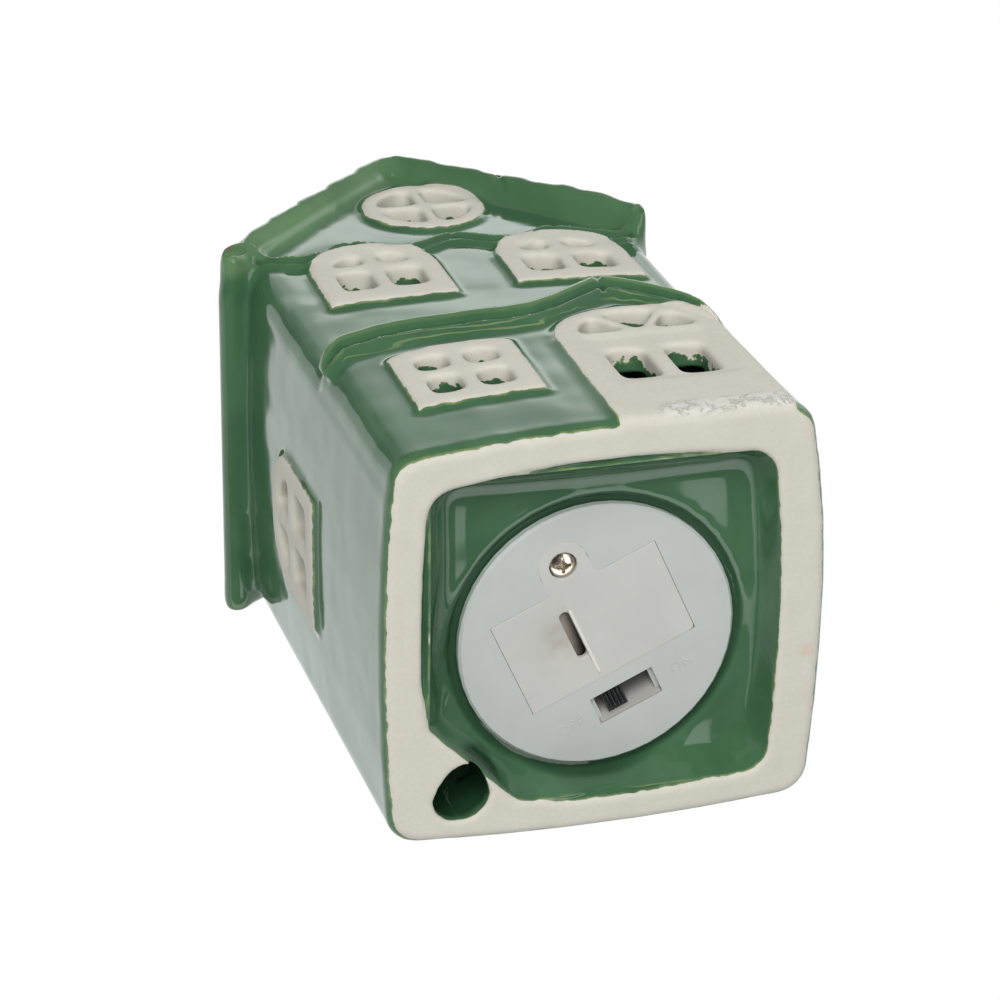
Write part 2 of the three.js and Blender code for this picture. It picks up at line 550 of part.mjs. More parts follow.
function batteryHatch() {
  const plate = prismZ(hatchOutline(-0.25), 0, HATCH.t);
  const slot = block(HATCH_SLOT.x - HATCH_SLOT.w / 2, HATCH_SLOT.x + HATCH_SLOT.w / 2,
    HATCH_SLOT.y - HATCH_SLOT.h / 2, HATCH_SLOT.y + HATCH_SLOT.h / 2, -OVER, 3);
  const [x0, x1] = [-HATCH.w / 2 + 1.2, HATCH_SLOT.x + HATCH_SLOT.w / 2];
  const thumb = prismY([[x0, -OVER], [x1, -OVER], [x1, THUMB_DEEP], [x0, -0.01]],
    BAY.y - HATCH.h / 2 + 2, BAY.y + HATCH.h / 2 - 2);
  const sink = rod(0, HATCH.tabY, SCREW.headR + GAP, -OVER, SCREW.sunk, 24);
  const hole = rod(0, HATCH.tabY, SCREW.shankR + GAP, -OVER, 3, 16);
  return plate.subtract(slot).subtract(thumb).subtract(sink).subtract(hole);
}

function hatchScrew() {
  const top = SCREW.sunk - GAP;
  const body = turned([[0, top - SCREW.headT], [SCREW.headR - 0.6, top - SCREW.headT],
    [SCREW.headR, top - 0.3], [SCREW.headR, top], [SCREW.shankR, top], [SCREW.shankR, SCREW.length - 1],
    [0.3, SCREW.length], [0, SCREW.length]], 0, HATCH.tabY, 20);
  const cross = [0, 90].map((turn) => solid(new THREE.BoxGeometry(2.4, 0.6, 1.2).rotateZ(
    THREE.MathUtils.degToRad(turn + 20)).translate(0, HATCH.tabY, top - SCREW.headT)));
  return body.subtract(cross[0]).subtract(cross[1]);
}

function knob() {
  const z0 = KNOB.top;
  const z1 = PLATE.z - GAP;
  const grip = block(KNOB.x - KNOB.w / 2, KNOB.x + KNOB.w / 2, SWITCH_Y - KNOB.h / 2, SWITCH_Y + KNOB.h / 2,
    z0, z1);
  const stem = block(KNOB.x - KNOB.stemW / 2, KNOB.x + KNOB.stemW / 2, SWITCH_Y - KNOB.stemH / 2,
    SWITCH_Y + KNOB.stemH / 2, z1 - 0.1, PLATE.z + PLATE.t + GAP + KNOB.shoe);
  const shoe = block(KNOB.x - 1.6, KNOB.x + 1.6, SWITCH_Y - 1.5, SWITCH_Y + 1.5, PLATE.z + PLATE.t + GAP,
    PLATE.z + PLATE.t + GAP + KNOB.shoe);
  let shape = grip.add(stem).add(shoe);
  for (let i = 0; i < 4; i += 1) {
    const x = KNOB.x - 1.2 + 0.8 * i;
    shape = shape.subtract(block(x - 0.2, x + 0.2, SWITCH_Y - 3, SWITCH_Y + 3, z0 - OVER, z0 + 0.5));
  }
  return shape;
}

function switchShell() {
  const plate = block(-PLATE.w / 2, PLATE.w / 2, SWITCH_Y - PLATE.h / 2, SWITCH_Y + PLATE.h / 2, PLATE.z,
    PLATE.z + PLATE.t);
  const top = PLATE.z + SHELL.high;
  const can = block(-SHELL.w / 2, SHELL.w / 2, SWITCH_Y - SHELL.h / 2, SWITCH_Y + SHELL.h / 2, PLATE.z, top);
  const room = block(-SHELL.w / 2 + SHELL.t, SHELL.w / 2 - SHELL.t, SWITCH_Y - SHELL.h / 2 + SHELL.t,
    SWITCH_Y + SHELL.h / 2 - SHELL.t, PLATE.z + PLATE.t, top + OVER);
  const reach = KNOB_TRAVEL / 2 + KNOB.stemW / 2 + GAP;
  const slot = block(-reach, reach, SWITCH_Y - KNOB.stemH / 2 - GAP, SWITCH_Y + KNOB.stemH / 2 + GAP, 0,
    PLATE.z + 1);
  return plate.add(can).subtract(room).subtract(slot);
}

const SWITCH_BASE_Z = PLATE.z + SHELL.high - SWITCH_BASE_T;

const switchBase = () => block(-SHELL.w / 2 + SHELL.t + GAP, SHELL.w / 2 - SHELL.t - GAP,
  SWITCH_Y - SHELL.h / 2 + SHELL.t + GAP, SWITCH_Y + SHELL.h / 2 - SHELL.t - GAP, SWITCH_BASE_Z,
  SWITCH_BASE_Z + SWITCH_BASE_T);

const switchPin = (index) => block(PIN.pitch * index - PIN.w / 2, PIN.pitch * index + PIN.w / 2,
  SWITCH_Y - PIN.t / 2, SWITCH_Y + PIN.t / 2, SWITCH_BASE_Z + SWITCH_BASE_T + GAP,
  SWITCH_BASE_Z + SWITCH_BASE_T + GAP + PIN.length);

const CELL_PITCH = CELL_T + GAP;

function buttonCell(index) {
  const start = CELL_PITCH * (index - 1) - CELL_T / 2 + CELL_SHIFT;
  const profile = [[0, 0], [CELL_R - 1.3, 0], [CELL_R - 1.1, 0.4], [CELL_R - 0.5, 0.5], [CELL_R, 1],
    [CELL_R, CELL_T - 0.3], [CELL_R - 0.3, CELL_T], [0, CELL_T]];
  const points = profile.map(([r, z]) => new THREE.Vector2(r, z));
  return solid(new THREE.LatheGeometry(points, 32).rotateZ(-Math.PI / 2)
    .translate(start, BAY.y, CELL_FLOOR + CELL_R));
}

function positiveContact() {
  const { t, half, bump, bumpOut } = CONTACT;
  const x = BAY.x - GAP - t;
  const z = CELL_FLOOR + CELL_R;
  const plate = block(x, x + t, BAY.y - half, BAY.y + half, CELL_FLOOR + BAY.wall, BAY_TOP - GAP);
  const dimple = block(x - bumpOut, x + t / 4, BAY.y - bump, BAY.y + bump, z - bump, z + bump);
  return plate.add(dimple).add(contactTab(1));
}

function negativeContact() {
  const { t, half, leaf, leafTip, leafT } = CONTACT;
  const x = -BAY.x + GAP;
  const z = CELL_FLOOR + CELL_R;
  const end = CELL_SHIFT - CELL_PITCH - CELL_T / 2 - GAP;
  const [root, foot, tip] = [x + t / 2, half - leafTip, leafTip / 2];
  const plate = block(x, x + t, BAY.y - half, BAY.y + half, CELL_FLOOR + BAY.wall, BAY_TOP - GAP);
  const spring = prismY([[root, z - half], [end, z - leafTip], [end, z + leafTip], [root, z + half],
    [root, z + foot], [end - leafT, z + tip], [end - leafT, z - tip], [root, z - foot]],
  BAY.y - leaf, BAY.y + leaf);
  return plate.add(spring).add(contactTab(-1));
}

const CAP_Z = CUP_TOP + GAP;

function unitCap() {
  const [face, neck] = [CAP_Z + CAP_T, CAP_Z + CAP_T + CAP_NECK.high];
  const disc = turned([[0, CAP_Z], [CUP_R - CAP_EDGE, CAP_Z], [CUP_R, CAP_Z + CAP_EDGE], [CUP_R, face],
    [LAMP.r + CAP_NECK.wide, face], [LAMP.r + CAP_NECK.narrow, neck], [0, neck]], 0, 0, 40);
  const outer = CUP_R - CUP_WALL - GAP;
  const inner = outer - CAP_SKIRT.t;
  const [low, high] = [CAP_Z - CAP_SKIRT.deep, CAP_Z + CAP_EDGE];
  const skirt = turned([[inner, low], [outer, low], [outer, high], [inner, high], [inner, low]], 0, 0, 40);
  const hole = rod(LAMP.x, LAMP.y, LAMP.r + GAP, 0, neck + OVER, 24);
  const rimSeat = rod(LAMP.x, LAMP.y, LAMP.rimR + GAP, 0, CAP_Z + LAMP_SUNK, 24);
  return disc.add(skirt).subtract(hole).subtract(rimSeat);
}

const LAMP_Z = CAP_Z + LAMP_SUNK - GAP - LAMP.rimT;

const lampLens = () => turned([[0, LAMP_Z], [LAMP.rimR, LAMP_Z], [LAMP.rimR, LAMP_Z + LAMP.rimT],
  [LAMP.r, LAMP_Z + LAMP.rimT], [LAMP.r, LAMP_Z + LAMP.high - LAMP.r],
  [LAMP.r * 0.87, LAMP_Z + LAMP.high - LAMP.r * 0.5], [LAMP.r * 0.5, LAMP_Z + LAMP.high - LAMP.r * 0.13],
  [0, LAMP_Z + LAMP.high]], LAMP.x, LAMP.y, 24);

const WIRE_TOP = BAY_TOP + BAY.roof + GAP + LEAD / 2;
const RESISTOR_Z = BAY_TOP + BAY.roof + GAP + RESISTOR.r;
const PIN_TOP = SWITCH_BASE_Z + SWITCH_BASE_T + GAP + PIN.length;

// Lead from the lamp over the battery bay and down to the middle pin of the switch.
function anodeLead() {
  const x = LAMP.x + LEAD_PITCH / 2;
  return wireAlong([[x, LAMP.y, LAMP_Z - GAP], [x, LAMP.y, WIRE_TOP], [x - 0.01, SWITCH_Y - 2.4, WIRE_TOP],
    [0, SWITCH_Y, PIN_TOP + GAP]], LEAD);
}

// Lead from the lamp sideways to the resistor.
function cathodeLead() {
  const x = LAMP.x - LEAD_PITCH / 2;
  return wireAlong([[x, LAMP.y, LAMP_Z - GAP], [x, LAMP.y, RESISTOR_Z], [x - 0.01, RESISTOR.y, RESISTOR_Z],
    [RESISTOR.x + GAP, RESISTOR.y, RESISTOR_Z]], LEAD);
}

// Resistor lying along X: a waisted body with a stub of lead at its far end.
function resistor() {
  const { r, length, x, y, stub } = RESISTOR;
  const profile = [[0, 0], [r * 0.7, 0], [r, 0.4], [r, 0.9], [r * 0.8, 1.2], [r * 0.8, length - 1.2],
    [r, length - 0.9], [r, length - 0.4], [r * 0.7, length], [LEAD / 2, length],
    [LEAD / 2, length + stub], [0, length + stub]];
  const points = profile.map(([radius, along]) => new THREE.Vector2(radius, along));
  return solid(new THREE.LatheGeometry(points, 16).rotateZ(Math.PI / 2).translate(x, y, RESISTOR_Z));
}

// Wire from the positive contact to the last pin of the switch.
function redWire() {
  const x = BAY.x + BAY.wall + CONTACT_TAB.out + GAP + WIRE_R;
  const tab = (CONTACT_TAB.low + CONTACT_TAB.high) / 2;
  const { aside, turnX, turnY, down, over, up } = RED_BOW;
  return wireCurve([[x, BAY.y, tab], [x + WIRE_R, BAY.y + aside, tab - down / 3],
    [turnX, SWITCH_Y - turnY, tab - down], [PIN.pitch + over, SWITCH_Y + GAP, PIN_TOP + up],
    [PIN.pitch, SWITCH_Y, PIN_TOP + GAP + WIRE_R]], WIRE_R, 18);
}

// Wire from the resistor to the negative contact.
function blackWire() {
  const x = BAY.x + BAY.wall + CONTACT_TAB.out + GAP + WIRE_R;
  const start = RESISTOR.x - RESISTOR.length - RESISTOR.stub - GAP;
  const tab = (CONTACT_TAB.low + CONTACT_TAB.high) / 2;
  const { away, aside, up, near } = BLACK_BOW;
  return wireCurve([[start, RESISTOR.y, RESISTOR_Z], [start - away, RESISTOR.y - GAP, RESISTOR_Z],
    [-x + near, BAY.y + aside, tab + up], [-x - GAP, BAY.y + near, tab + up / 2], [-x, BAY.y, tab]],
  WIRE_R, 18);
}

function buildUnit() {
  const unit = new THREE.Group();
  const cells = Array.from({ length: CELL_COUNT }, (_, i) => i);
  unit.add(piece('unit_housing', unitHousing(), WHITE));
  unit.add(piece('unit_cap', unitCap(), WHITE));
  unit.add(piece('battery_hatch', batteryHatch(), WHITE));
  unit.add(piece('hatch_screw', hatchScrew(), NICKEL));
  unit.add(piece('switch_knob', knob(), BLACK));
  unit.add(piece('switch_shell', switchShell(), STEEL));
  unit.add(piece('switch_base', switchBase(), BROWN));
  [-1, 0, 1].forEach((index) => unit.add(piece(`switch_pin_${index + 2}`, switchPin(index), COPPER)));
  cells.forEach((index) => unit.add(piece(`button_cell_${index + 1}`, buttonCell(index), STEEL)));
  unit.add(piece('contact_positive', positiveContact(), STEEL));
  unit.add(piece('contact_negative', negativeContact(), STEEL));
  unit.add(piece('lamp_lens', lampLens(), LENS));
  unit.add(piece('lamp_lead_anode', anodeLead(), COPPER));
  unit.add(piece('lamp_lead_cathode', cathodeLead(), COPPER));
  unit.add(piece('resistor', resistor(), SAND));
  unit.add(piece('wire_red', redWire(), RED));
  unit.add(piece('wire_black', blackWire(), BLACK));
  unit.rotation.z = THREE.MathUtils.degToRad(UNIT.turn);
  unit.position.set(UNIT.x, UNIT.y, UNIT.faceZ);
  return unit;
}

const house = new THREE.Group();
house.add(piece('house_body', houseBody(), GLAZE));
house.add(buildUnit());
const middle = new THREE.Box3().setFromObject(house).getCenter(new THREE.Vector3());
house.position.set(-middle.x, -middle.y, 0);

export default house;
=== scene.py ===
import math

import bpy
import numpy as np
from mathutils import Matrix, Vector


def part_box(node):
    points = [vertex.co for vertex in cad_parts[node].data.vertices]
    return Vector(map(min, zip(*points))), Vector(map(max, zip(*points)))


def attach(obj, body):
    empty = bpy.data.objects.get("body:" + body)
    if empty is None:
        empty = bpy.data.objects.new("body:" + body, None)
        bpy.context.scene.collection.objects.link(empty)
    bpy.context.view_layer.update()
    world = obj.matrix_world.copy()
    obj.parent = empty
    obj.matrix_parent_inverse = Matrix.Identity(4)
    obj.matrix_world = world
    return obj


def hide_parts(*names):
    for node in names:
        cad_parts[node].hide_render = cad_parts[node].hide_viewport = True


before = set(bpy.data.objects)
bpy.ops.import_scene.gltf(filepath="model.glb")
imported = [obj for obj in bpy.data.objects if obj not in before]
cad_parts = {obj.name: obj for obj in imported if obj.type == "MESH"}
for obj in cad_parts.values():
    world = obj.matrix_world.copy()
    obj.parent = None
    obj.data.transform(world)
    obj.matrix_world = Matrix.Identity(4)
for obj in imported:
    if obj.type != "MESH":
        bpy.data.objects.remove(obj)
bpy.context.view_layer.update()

# Sizes are in millimetres and measured from the middle of the base outline, as in the part's source.
# MM turns them into the scene's metres, and SHIFT is where that middle lies in the frame.
MM = 0.001
UNIT_X, UNIT_Y, UNIT_TURN = 0.4, 4.1, math.radians(-24.5)


def box_middle(node):
    low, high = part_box(node)
    return (low + high) / 2 / MM


SHIFT = box_middle("unit_housing") - Vector((UNIT_X, UNIT_Y, 0))
SHIFT.z = 0

# Camera, from the photograph's perspective. Its focal length is in picture widths.
CAMERA_AT = (-150.26, -240.4, -446.21)
CAMERA_TURN = (154.8438, 16.1618, -0.8648)
SENSOR = 36.0
FOCAL = 3.43207

# Light of the room by direction: x to the right, y to the back of the house, z up.
# A ramp is where it starts and ends and, where these aren't 0 and 1, its strengths there. The sky's
# places run from straight in front of the house, 0, to straight behind it, 1.
SKY = ((0.1, 0.1), (0.24, 0.16), (0.27, 0.42), (0.295, 0.5), (0.315, 0.95), (0.35, 1.0),
       (0.375, 0.62), (0.42, 0.46), (1, 0.44))
SKY_TOP = 2.5
SKY_OVER_Z = (-0.25, 0.45, 0.17, 1.0)
SKY_OVER_X = (-0.32, 0.02, 0.14, 1.0)
SKY_BEHIND = (0.05, 0.25)
TABLE_TILT = 0.45
TABLE_SHINY = (0.26, 0.31)
TABLE_AHEAD = (-0.1, -0.5, 0.95, 2.2)
TABLE_DULL = (0.1, 0.4, 0.0, 0.75)
WINDOW_X, WINDOW_Y, WINDOW_Z = (0.3, 0.312), (0.448, 0.436), (-0.6, -0.7, 0.0, 2.2)
ROOM_TINT = (0.97, 1.0, 0.99, 1)
KEY_AT, KEY_TOWARD, KEY_SIZE, KEY_POWER = (-0.34, -0.95, -0.95), (0, 0, 0.03), 1.2, 23
FLOOR_HALF, FLOOR_Z = 1.2, -0.0003

# Walls, windows and door
MIDDLE_X = -0.3
SIDE_X = 34.3
BACK_Y = 33.3
LOWER_FRONT_Y = -34.6
UPPER_FRONT_Y = -29.4
WALL = 4.1
LEFT_WINDOW = dict(at=-16.5, sill=66.2, w=22, h=24.5, rise=9.5)
RIGHT_WINDOW = dict(at=16.5, sill=68, w=22.6, h=22, rise=9)
SQUARE_WINDOW = dict(at=-16.1, sill=14.8, w=20.4, h=21.8, rise=2)
SIDE_WINDOW = dict(at=3.6, sill=39.5, w=23.4, h=27, rise=9.5)
ROUND_WINDOW = dict(x=-0.9, z=107.1, r=10.9)
DOOR = dict(at=15.3, sill=0, w=28.4, h=44.3, rise=11)
FRAME_OUT_FRONT, FRAME_OUT_SIDE, FRAME_REACH = 1.1, 0.6, 8
GABLE_FRONT_Y = -33
FAR_OUT = -9

# Roof, and its front edge as a quarter round
RIDGE_X, RIDGE_Z, ROOF_DROP = -2.2, 128.8, 5.9
ROOF_FALL = 0.99
ROOF_TILT = math.radians(44.7)
VERGE_CURVE = 1.5
VERGE_TOP, VERGE_HIGH, VERGE_DEEP, VERGE_BACK_Y = 0.2, 4.0, 5.0, -29.5
VERGE_SOFT, EAVE_SOFT, BLUNT_KEPT, BLUNT_LOW_Z = 0.3, 0.7, 0.9, 80

# Mouldings on the front. A roll of the ledge is how far it stands out, and its start and end below the top.
LEDGE_PATH = ((-40, 38.5), (-36.5, 40.6), (-34.5, 43.2), (-31.6, 45.4), (-24.7, 46.8), (-16.7, 46.5),
              (-4.6, 46), (0.2, 46.8), (4.8, 49), (9.1, 52), (13.2, 54.7), (15.3, 54.9), (18.6, 52.8),
              (22.4, 49.1), (25, 46.2), (26.9, 43.2), (28.4, 39.6), (30.5, 35), (40, 30))
LEDGE_ROLLS = ((0.75, -0.6, 3.3), (-0.55, 2.7, 4.3), (0.45, 3.8, 6.8))
LEDGE_CREST_X, CREST_NOTCH, CREST_WIDE = 14.4, 0.6, 0.5
WAVE_TOP_Z, WAVE_RISE, WAVE_LENGTH, WAVE_CREST_X, WAVE_HEIGHT = 90.8, 1.9, 18.3, 0.3, 2.5
WAVE_OUT, WAVE_UNDERCUT, WAVE_NOTCH, WAVE_NOTCH_WIDE = 1.5, 1.3, 0.4, 0.45

# Recess under the foot: each wall's edge, and how far from there it leans inward
RECESS_ACROSS = ((-28.4, 4.8), (28.6, -3.6))
RECESS_ALONG = ((-27.8, 4.4), (28.8, -3.8))
RECESS_DEPTH, RECESS_HALF, LEAN_CURVE, RECESS_LIP = 7, 29.5, 1.35, 0.2
RECESS_TOP_Z, RECESS_LOW_Z = 9, 0.3
SEAT_R = 24
# The drain hole's glaze is darkened with painted shade, this many times as strongly as the ring round the
# LED unit.
DRAIN_X, DRAIN_Y, DRAIN_PAINTED_SHADE = -23, 25.6, 1.5

# How the body is meshed and rounded, and where its glaze ends
VOXEL = 0.45
PANE_WIDER = 0.5
ROUNDING = 16
SOFT_ROUNDING = 110
FRAME_ROUNDING = 14
RIDGE_REACH = 14
LIP = 0.1
FOOT_BARE = 0.45
BARE_DEEP = 1.8
BLUSH_AT, BLUSH_R = (33.1, 7.7, 0), 1.5
CHIP_AT, CHIP_R = (-39.2, -34, 90.7), 1.9
SANDED_X, SANDED_Z = 19, 2.6
ROOM_FLOOR_Z = 10.5
LEDGE_FRONT_Y, NO_LEDGE = -31.5, 50

# Where the masks on the body fade: a smooth step is 0 at the first value of each pair and 1 at the second.
# Those named after x, y or z are places, and the others are distances.
EAVE_END_X, EAVE_SIDE_X, VERGE_END_X, VERGE_LEFT_X = (31, 34.5), (31, 35), (37.5, 34), (2, -8)
VERGE_Y, BLUNT_Y, VERGE_PALE_Y = (-24, -27), (-24, -28), (-27.5, -30.5)
LOWER_Y, LOWER_Z, CREST_BELOW = (-31.2, -32.6), (34, 37), (6, 4)
WAVE_Y, WAVE_START, WAVE_LIP, OFF_FRAMES = (-27.5, -29), (-0.8, 0), (2.3, 0), (0.2, -0.8)
RECESS_IN_Z, RECESS_OUT_Z, DRAIN_SOFT, DRAIN_CLEAR = (0.9, 2.2), (9.5, 8.5), (6, 8), (5.5, 8)
DRAIN_R, DRAIN_IN_Z, DRAIN_OUT_Z, SEAT_Z = (7.2, 6.2), (0.9, 2.4), (14, 12), (10, 9)
PANE_IN, PANE_ACROSS, PANE_BEHIND = (1.8, 2.6), (0.8, 0.6), (-1.4, -0.6)
GREEN_IN, GREEN_BEHIND, GREEN_Z = (1.5, 2.5), (0.6, 1.4), (2, 4)
FRAMED, BARS_IN, BARS_BEHIND, TO_FRONT = (-1, 0), (0.6, 1.4), (2.2, 1.2), (-0.2, -0.6)
SANDED_ACROSS, SANDED_UP, SANDED_Y = (13, 9), (2.6, 1.4), (-31, -33)
INSIDE_WALL = (-0.6, 0.6)

# LED unit, from its middle: u across its turned face, v along it towards the switch
FACE_Z = 6.3
HATCH_W, HATCH_H, HATCH_T, HATCH_V = 29, 17.6, 1.3, -1.57
HATCH_TAB_R, HATCH_TAB_V, HATCH_FILL, HATCH_CORNER = 4.1, -14.1, -0.03, 0.9
HOLLOW_DEEP = 1.05
SLOT_U, SLOT_V, SLOT_W, SLOT_H, STEP_U = -3.3, -2, 1.7, 9, -2.42
SLOT_FLOOR_HALF, SLOT_FLOOR_GAP, SLOT_FLOOR_RISE = 1.15, 0.12, 0.28
LIP_V, LIP_HALF = (-6.2, 5.8), 0.27
SCREW_R, SCREW_HEAD, SCREW_NECK_R, SCREW_LONG, SCREW_TURN = 2.05, 0.9, 1.0, 7, math.radians(20)
SCREW_RINGS, SCREW_SPOKES, SCREW_OUT = 40, 120, 0.05
LID_VOXEL, LIP_VOXEL = 0.16, 0.09
WELL_HALF, WELL_TOP, WELL_LOW, WELL_DEEP = 5.45, 9.85, 14.75, 2.3
KNOB_U, KNOB_V, KNOB_RIBS, RIB_HIGH, RIB_WIDE = (-3.5, -0.1), (10.1, 14.1), 5, 0.72, 0.16
LETTER_SIZE, LETTER_OUT, LETTER_BEVEL = 2.3, 0.07, 0.03

# Colours
GLAZE = (0.052, 0.134, 0.064), (0.066, 0.16, 0.079)
GLAZE_THIN = (0.2, 0.32, 0.12)
# Painted highlight: a paler green along the roof's front edge, strongest on the left.
VERGE_HIGHLIGHT_GREEN = (0.15, 0.28, 0.13)
GLAZE_POOL = (0.018, 0.068, 0.028)
GLAZE_EDGE = (0.26, 0.34, 0.13)
GLAZE_RUN = (0.42, 0.47, 0.2)
# Painted shade: the darker ring round the LED unit and the dark drain hole.
GLAZE_PAINTED_SHADE = (0.012, 0.045, 0.02)
# Painted shade on the walls inside the house, where little light gets in.
GLAZE_INSIDE_SHADE = (0.004, 0.012, 0.006)
CHIPPED = (0.2, 0.1, 0.055)
CLAY = (0.66, 0.628, 0.545), (0.73, 0.705, 0.62)
CLAY_SANDED = (0.8, 0.79, 0.74)
CLAY_BLUSH = (0.75, 0.36, 0.28)
HATCH_WHITE, HATCH_HOLLOW_BROWN = (0.595, 0.59, 0.56), (0.55, 0.46, 0.36)
# Painted highlight: the lip's plastic is lighter than the hatch's.
LIP_HIGHLIGHT_WHITE = (0.78, 0.75, 0.69)
# Painted light and shade in the finger slot and in the switch well.
SLOT_SHADOW_DARK, SLOT_LIT_LIGHT = (0.012, 0.009, 0.007), (0.42, 0.36, 0.3)
WELL_SHADOW_DARK, WELL_LIT_LIGHT = (0.004, 0.004, 0.004), (0.4, 0.385, 0.36)


# Nodes

def node(tree, kind, inputs=None, **settings):
    """Adds a node. An input is given a number, a colour or another node's output."""
    made = tree.nodes.new(kind)
    for name, value in settings.items():
        setattr(made, name, value)
    for key, value in (inputs or {}).items():
        socket = made.inputs[key]
        if isinstance(value, bpy.types.NodeSocket):
            tree.links.new(value, socket)
        else:
            socket.default_value = value
    return made


def math_node(tree, operation, *values):
    return node(tree, "ShaderNodeMath", dict(enumerate(values)), operation=operation).outputs[0]


def product(tree, first, *others):
    for other in others:
        first = math_node(tree, "MULTIPLY", first, other)
    return first


def ramp_between(tree, value, low, high, to_low=0.0, to_high=1.0, smooth=True):
    """Value spread from low..high to to_low..to_high, held at both ends."""
    kind = "SMOOTHSTEP" if smooth else "LINEAR"
    return node(tree, "ShaderNodeMapRange", {"Value": value, "From Min": low, "From Max": high,
                "To Min": to_low, "To Max": to_high}, interpolation_type=kind).outputs[0]


def mix_colour(tree, share, first, second):
    made = node(tree, "ShaderNodeMix", data_type="RGBA")
    for socket, value in ((made.inputs[0], share), (made.inputs[6], first), (made.inputs[7], second)):
        if isinstance(value, bpy.types.NodeSocket):
            tree.links.new(value, socket)
        elif isinstance(value, float) or len(value) == 4:
            socket.default_value = value
        else:
            socket.default_value = (*value, 1)
    return made.outputs[2]


def set_stops(ramp, stops):
    """Fills a colour ramp with grey stops, each a place and a value."""
    while len(ramp.elements) > 1:
        ramp.elements.remove(ramp.elements[-1])
    for i, (place, value) in enumerate(stops):
        stop = ramp.elements[0] if i == 0 else ramp.elements.new(place)
        stop.position = place
        stop.color = (value, value, value, 1)


# Camera, room and floor

def add_camera():
    data = bpy.data.cameras.new("camera")
    data.sensor_width = SENSOR
    data.lens = SENSOR * FOCAL
    data.clip_start = 0.01
    camera = bpy.data.objects.new("camera", data)
    camera.location = (Vector(CAMERA_AT) + SHIFT) * MM
    camera.rotation_euler = [math.radians(angle) for angle in CAMERA_TURN]
    bpy.context.scene.collection.objects.link(camera)
    bpy.context.scene.camera = camera


def sky_glow(tree, x, y, z):
    """Pale room with a bright strip in front and above, darker below and to the left."""
    strip = node(tree, "ShaderNodeValToRGB", {0: math_node(tree, "MULTIPLY_ADD", y, 0.5, 0.5)})
    set_stops(strip.color_ramp, SKY)
    above = ramp_between(tree, z, *SKY_OVER_Z)
    left, behind = ramp_between(tree, x, *SKY_OVER_X), ramp_between(tree, y, *SKY_BEHIND)
    beside = math_node(tree, "MAXIMUM", left, behind)
    return product(tree, above, strip.outputs[0], SKY_TOP, beside)


def table_glow(tree, x, y, z, glossy):
    """Pale table behind the house, brighter in the glaze than as a light, and a window in the recess."""
    near = math_node(tree, "MULTIPLY_ADD", z, TABLE_TILT, y)
    shiny = product(tree, ramp_between(tree, near, *TABLE_SHINY), ramp_between(tree, z, *TABLE_AHEAD))
    window = product(tree, ramp_between(tree, x, *WINDOW_X), ramp_between(tree, y, *WINDOW_Y),
                     ramp_between(tree, z, *WINDOW_Z))
    shiny = math_node(tree, "MAXIMUM", shiny, window)
    dull = ramp_between(tree, near, *TABLE_DULL)
    return node(tree, "ShaderNodeMix", {0: glossy, 2: dull, 3: shiny}, data_type="FLOAT").outputs[0]


def add_world():
    """Room that lights the house and shows in its glaze. Past the house, the camera sees it white."""
    world = bpy.data.worlds.new("studio")
    bpy.context.scene.world = world
    world.use_nodes = True
    tree = world.node_tree
    tree.nodes.clear()
    direction = node(tree, "ShaderNodeTexCoord").outputs["Generated"]
    way = node(tree, "ShaderNodeSeparateXYZ", {0: direction}).outputs
    path = node(tree, "ShaderNodeLightPath").outputs
    table = table_glow(tree, *way, path["Is Glossy Ray"])
    glow = math_node(tree, "MAXIMUM", sky_glow(tree, *way), table)
    lit = node(tree, "ShaderNodeBackground", {"Color": ROOM_TINT, "Strength": glow}).outputs[0]
    seen = node(tree, "ShaderNodeBackground", {"Color": (1, 1, 1, 1), "Strength": 1.0}).outputs[0]
    mixed = node(tree, "ShaderNodeMixShader", {0: path["Is Camera Ray"], 1: lit, 2: seen})
    out = node(tree, "ShaderNodeOutputWorld")
    tree.links.new(mixed.outputs[0], out.inputs[0])


def add_key_light():
    """Large soft light from the front and below. It isn't mirrored in the glaze, as the room is."""
    data = bpy.data.lights.new("key", "AREA")
    data.shape = "RECTANGLE"
    data.size = KEY_SIZE
    data.size_y = KEY_SIZE
    data.energy = KEY_POWER
    lamp = bpy.data.objects.new("key", data)
    lamp.location = KEY_AT
    lamp.rotation_euler = (Vector(KEY_TOWARD) - Vector(KEY_AT)).to_track_quat("-Z", "Y").to_euler()
    lamp.visible_camera = False
    lamp.visible_glossy = False
    bpy.context.scene.collection.objects.link(lamp)


def add_floor():
    """Pale floor under the foot. Only its top shows, so the camera below it sees the base."""
    mesh = bpy.data.meshes.new("floor")
    corners = [(x * FLOOR_HALF, y * FLOOR_HALF, 0) for x, y in ((-1, -1), (1, -1), (1, 1), (-1, 1))]
    mesh.from_pydata(corners, [], [(0, 1, 2, 3)])
    floor = bpy.data.objects.new("floor", mesh)
    floor.location.z = FLOOR_Z
    bpy.context.scene.collection.objects.link(floor)
    material = bpy.data.materials.new("floor")
    material.use_nodes = True
    tree = material.node_tree
    tree.nodes.clear()
    paint = node(tree, "ShaderNodeBsdfDiffuse", {"Color": (0.86, 0.86, 0.85, 1)})
    clear = node(tree, "ShaderNodeBsdfTransparent")
    path = node(tree, "ShaderNodeLightPath").outputs["Is Camera Ray"]
    under = node(tree, "ShaderNodeNewGeometry").outputs["Backfacing"]
    shown = product(tree, path, math_node(tree, "SUBTRACT", 1.0, under))
    mixed = node(tree, "ShaderNodeMixShader", {0: shown, 1: clear.outputs[0], 2: paint.outputs[0]})
    out = node(tree, "ShaderNodeOutputMaterial")
    tree.links.new(mixed.outputs[0], out.inputs[0])
    mesh.materials.append(material)


# Mesh tools

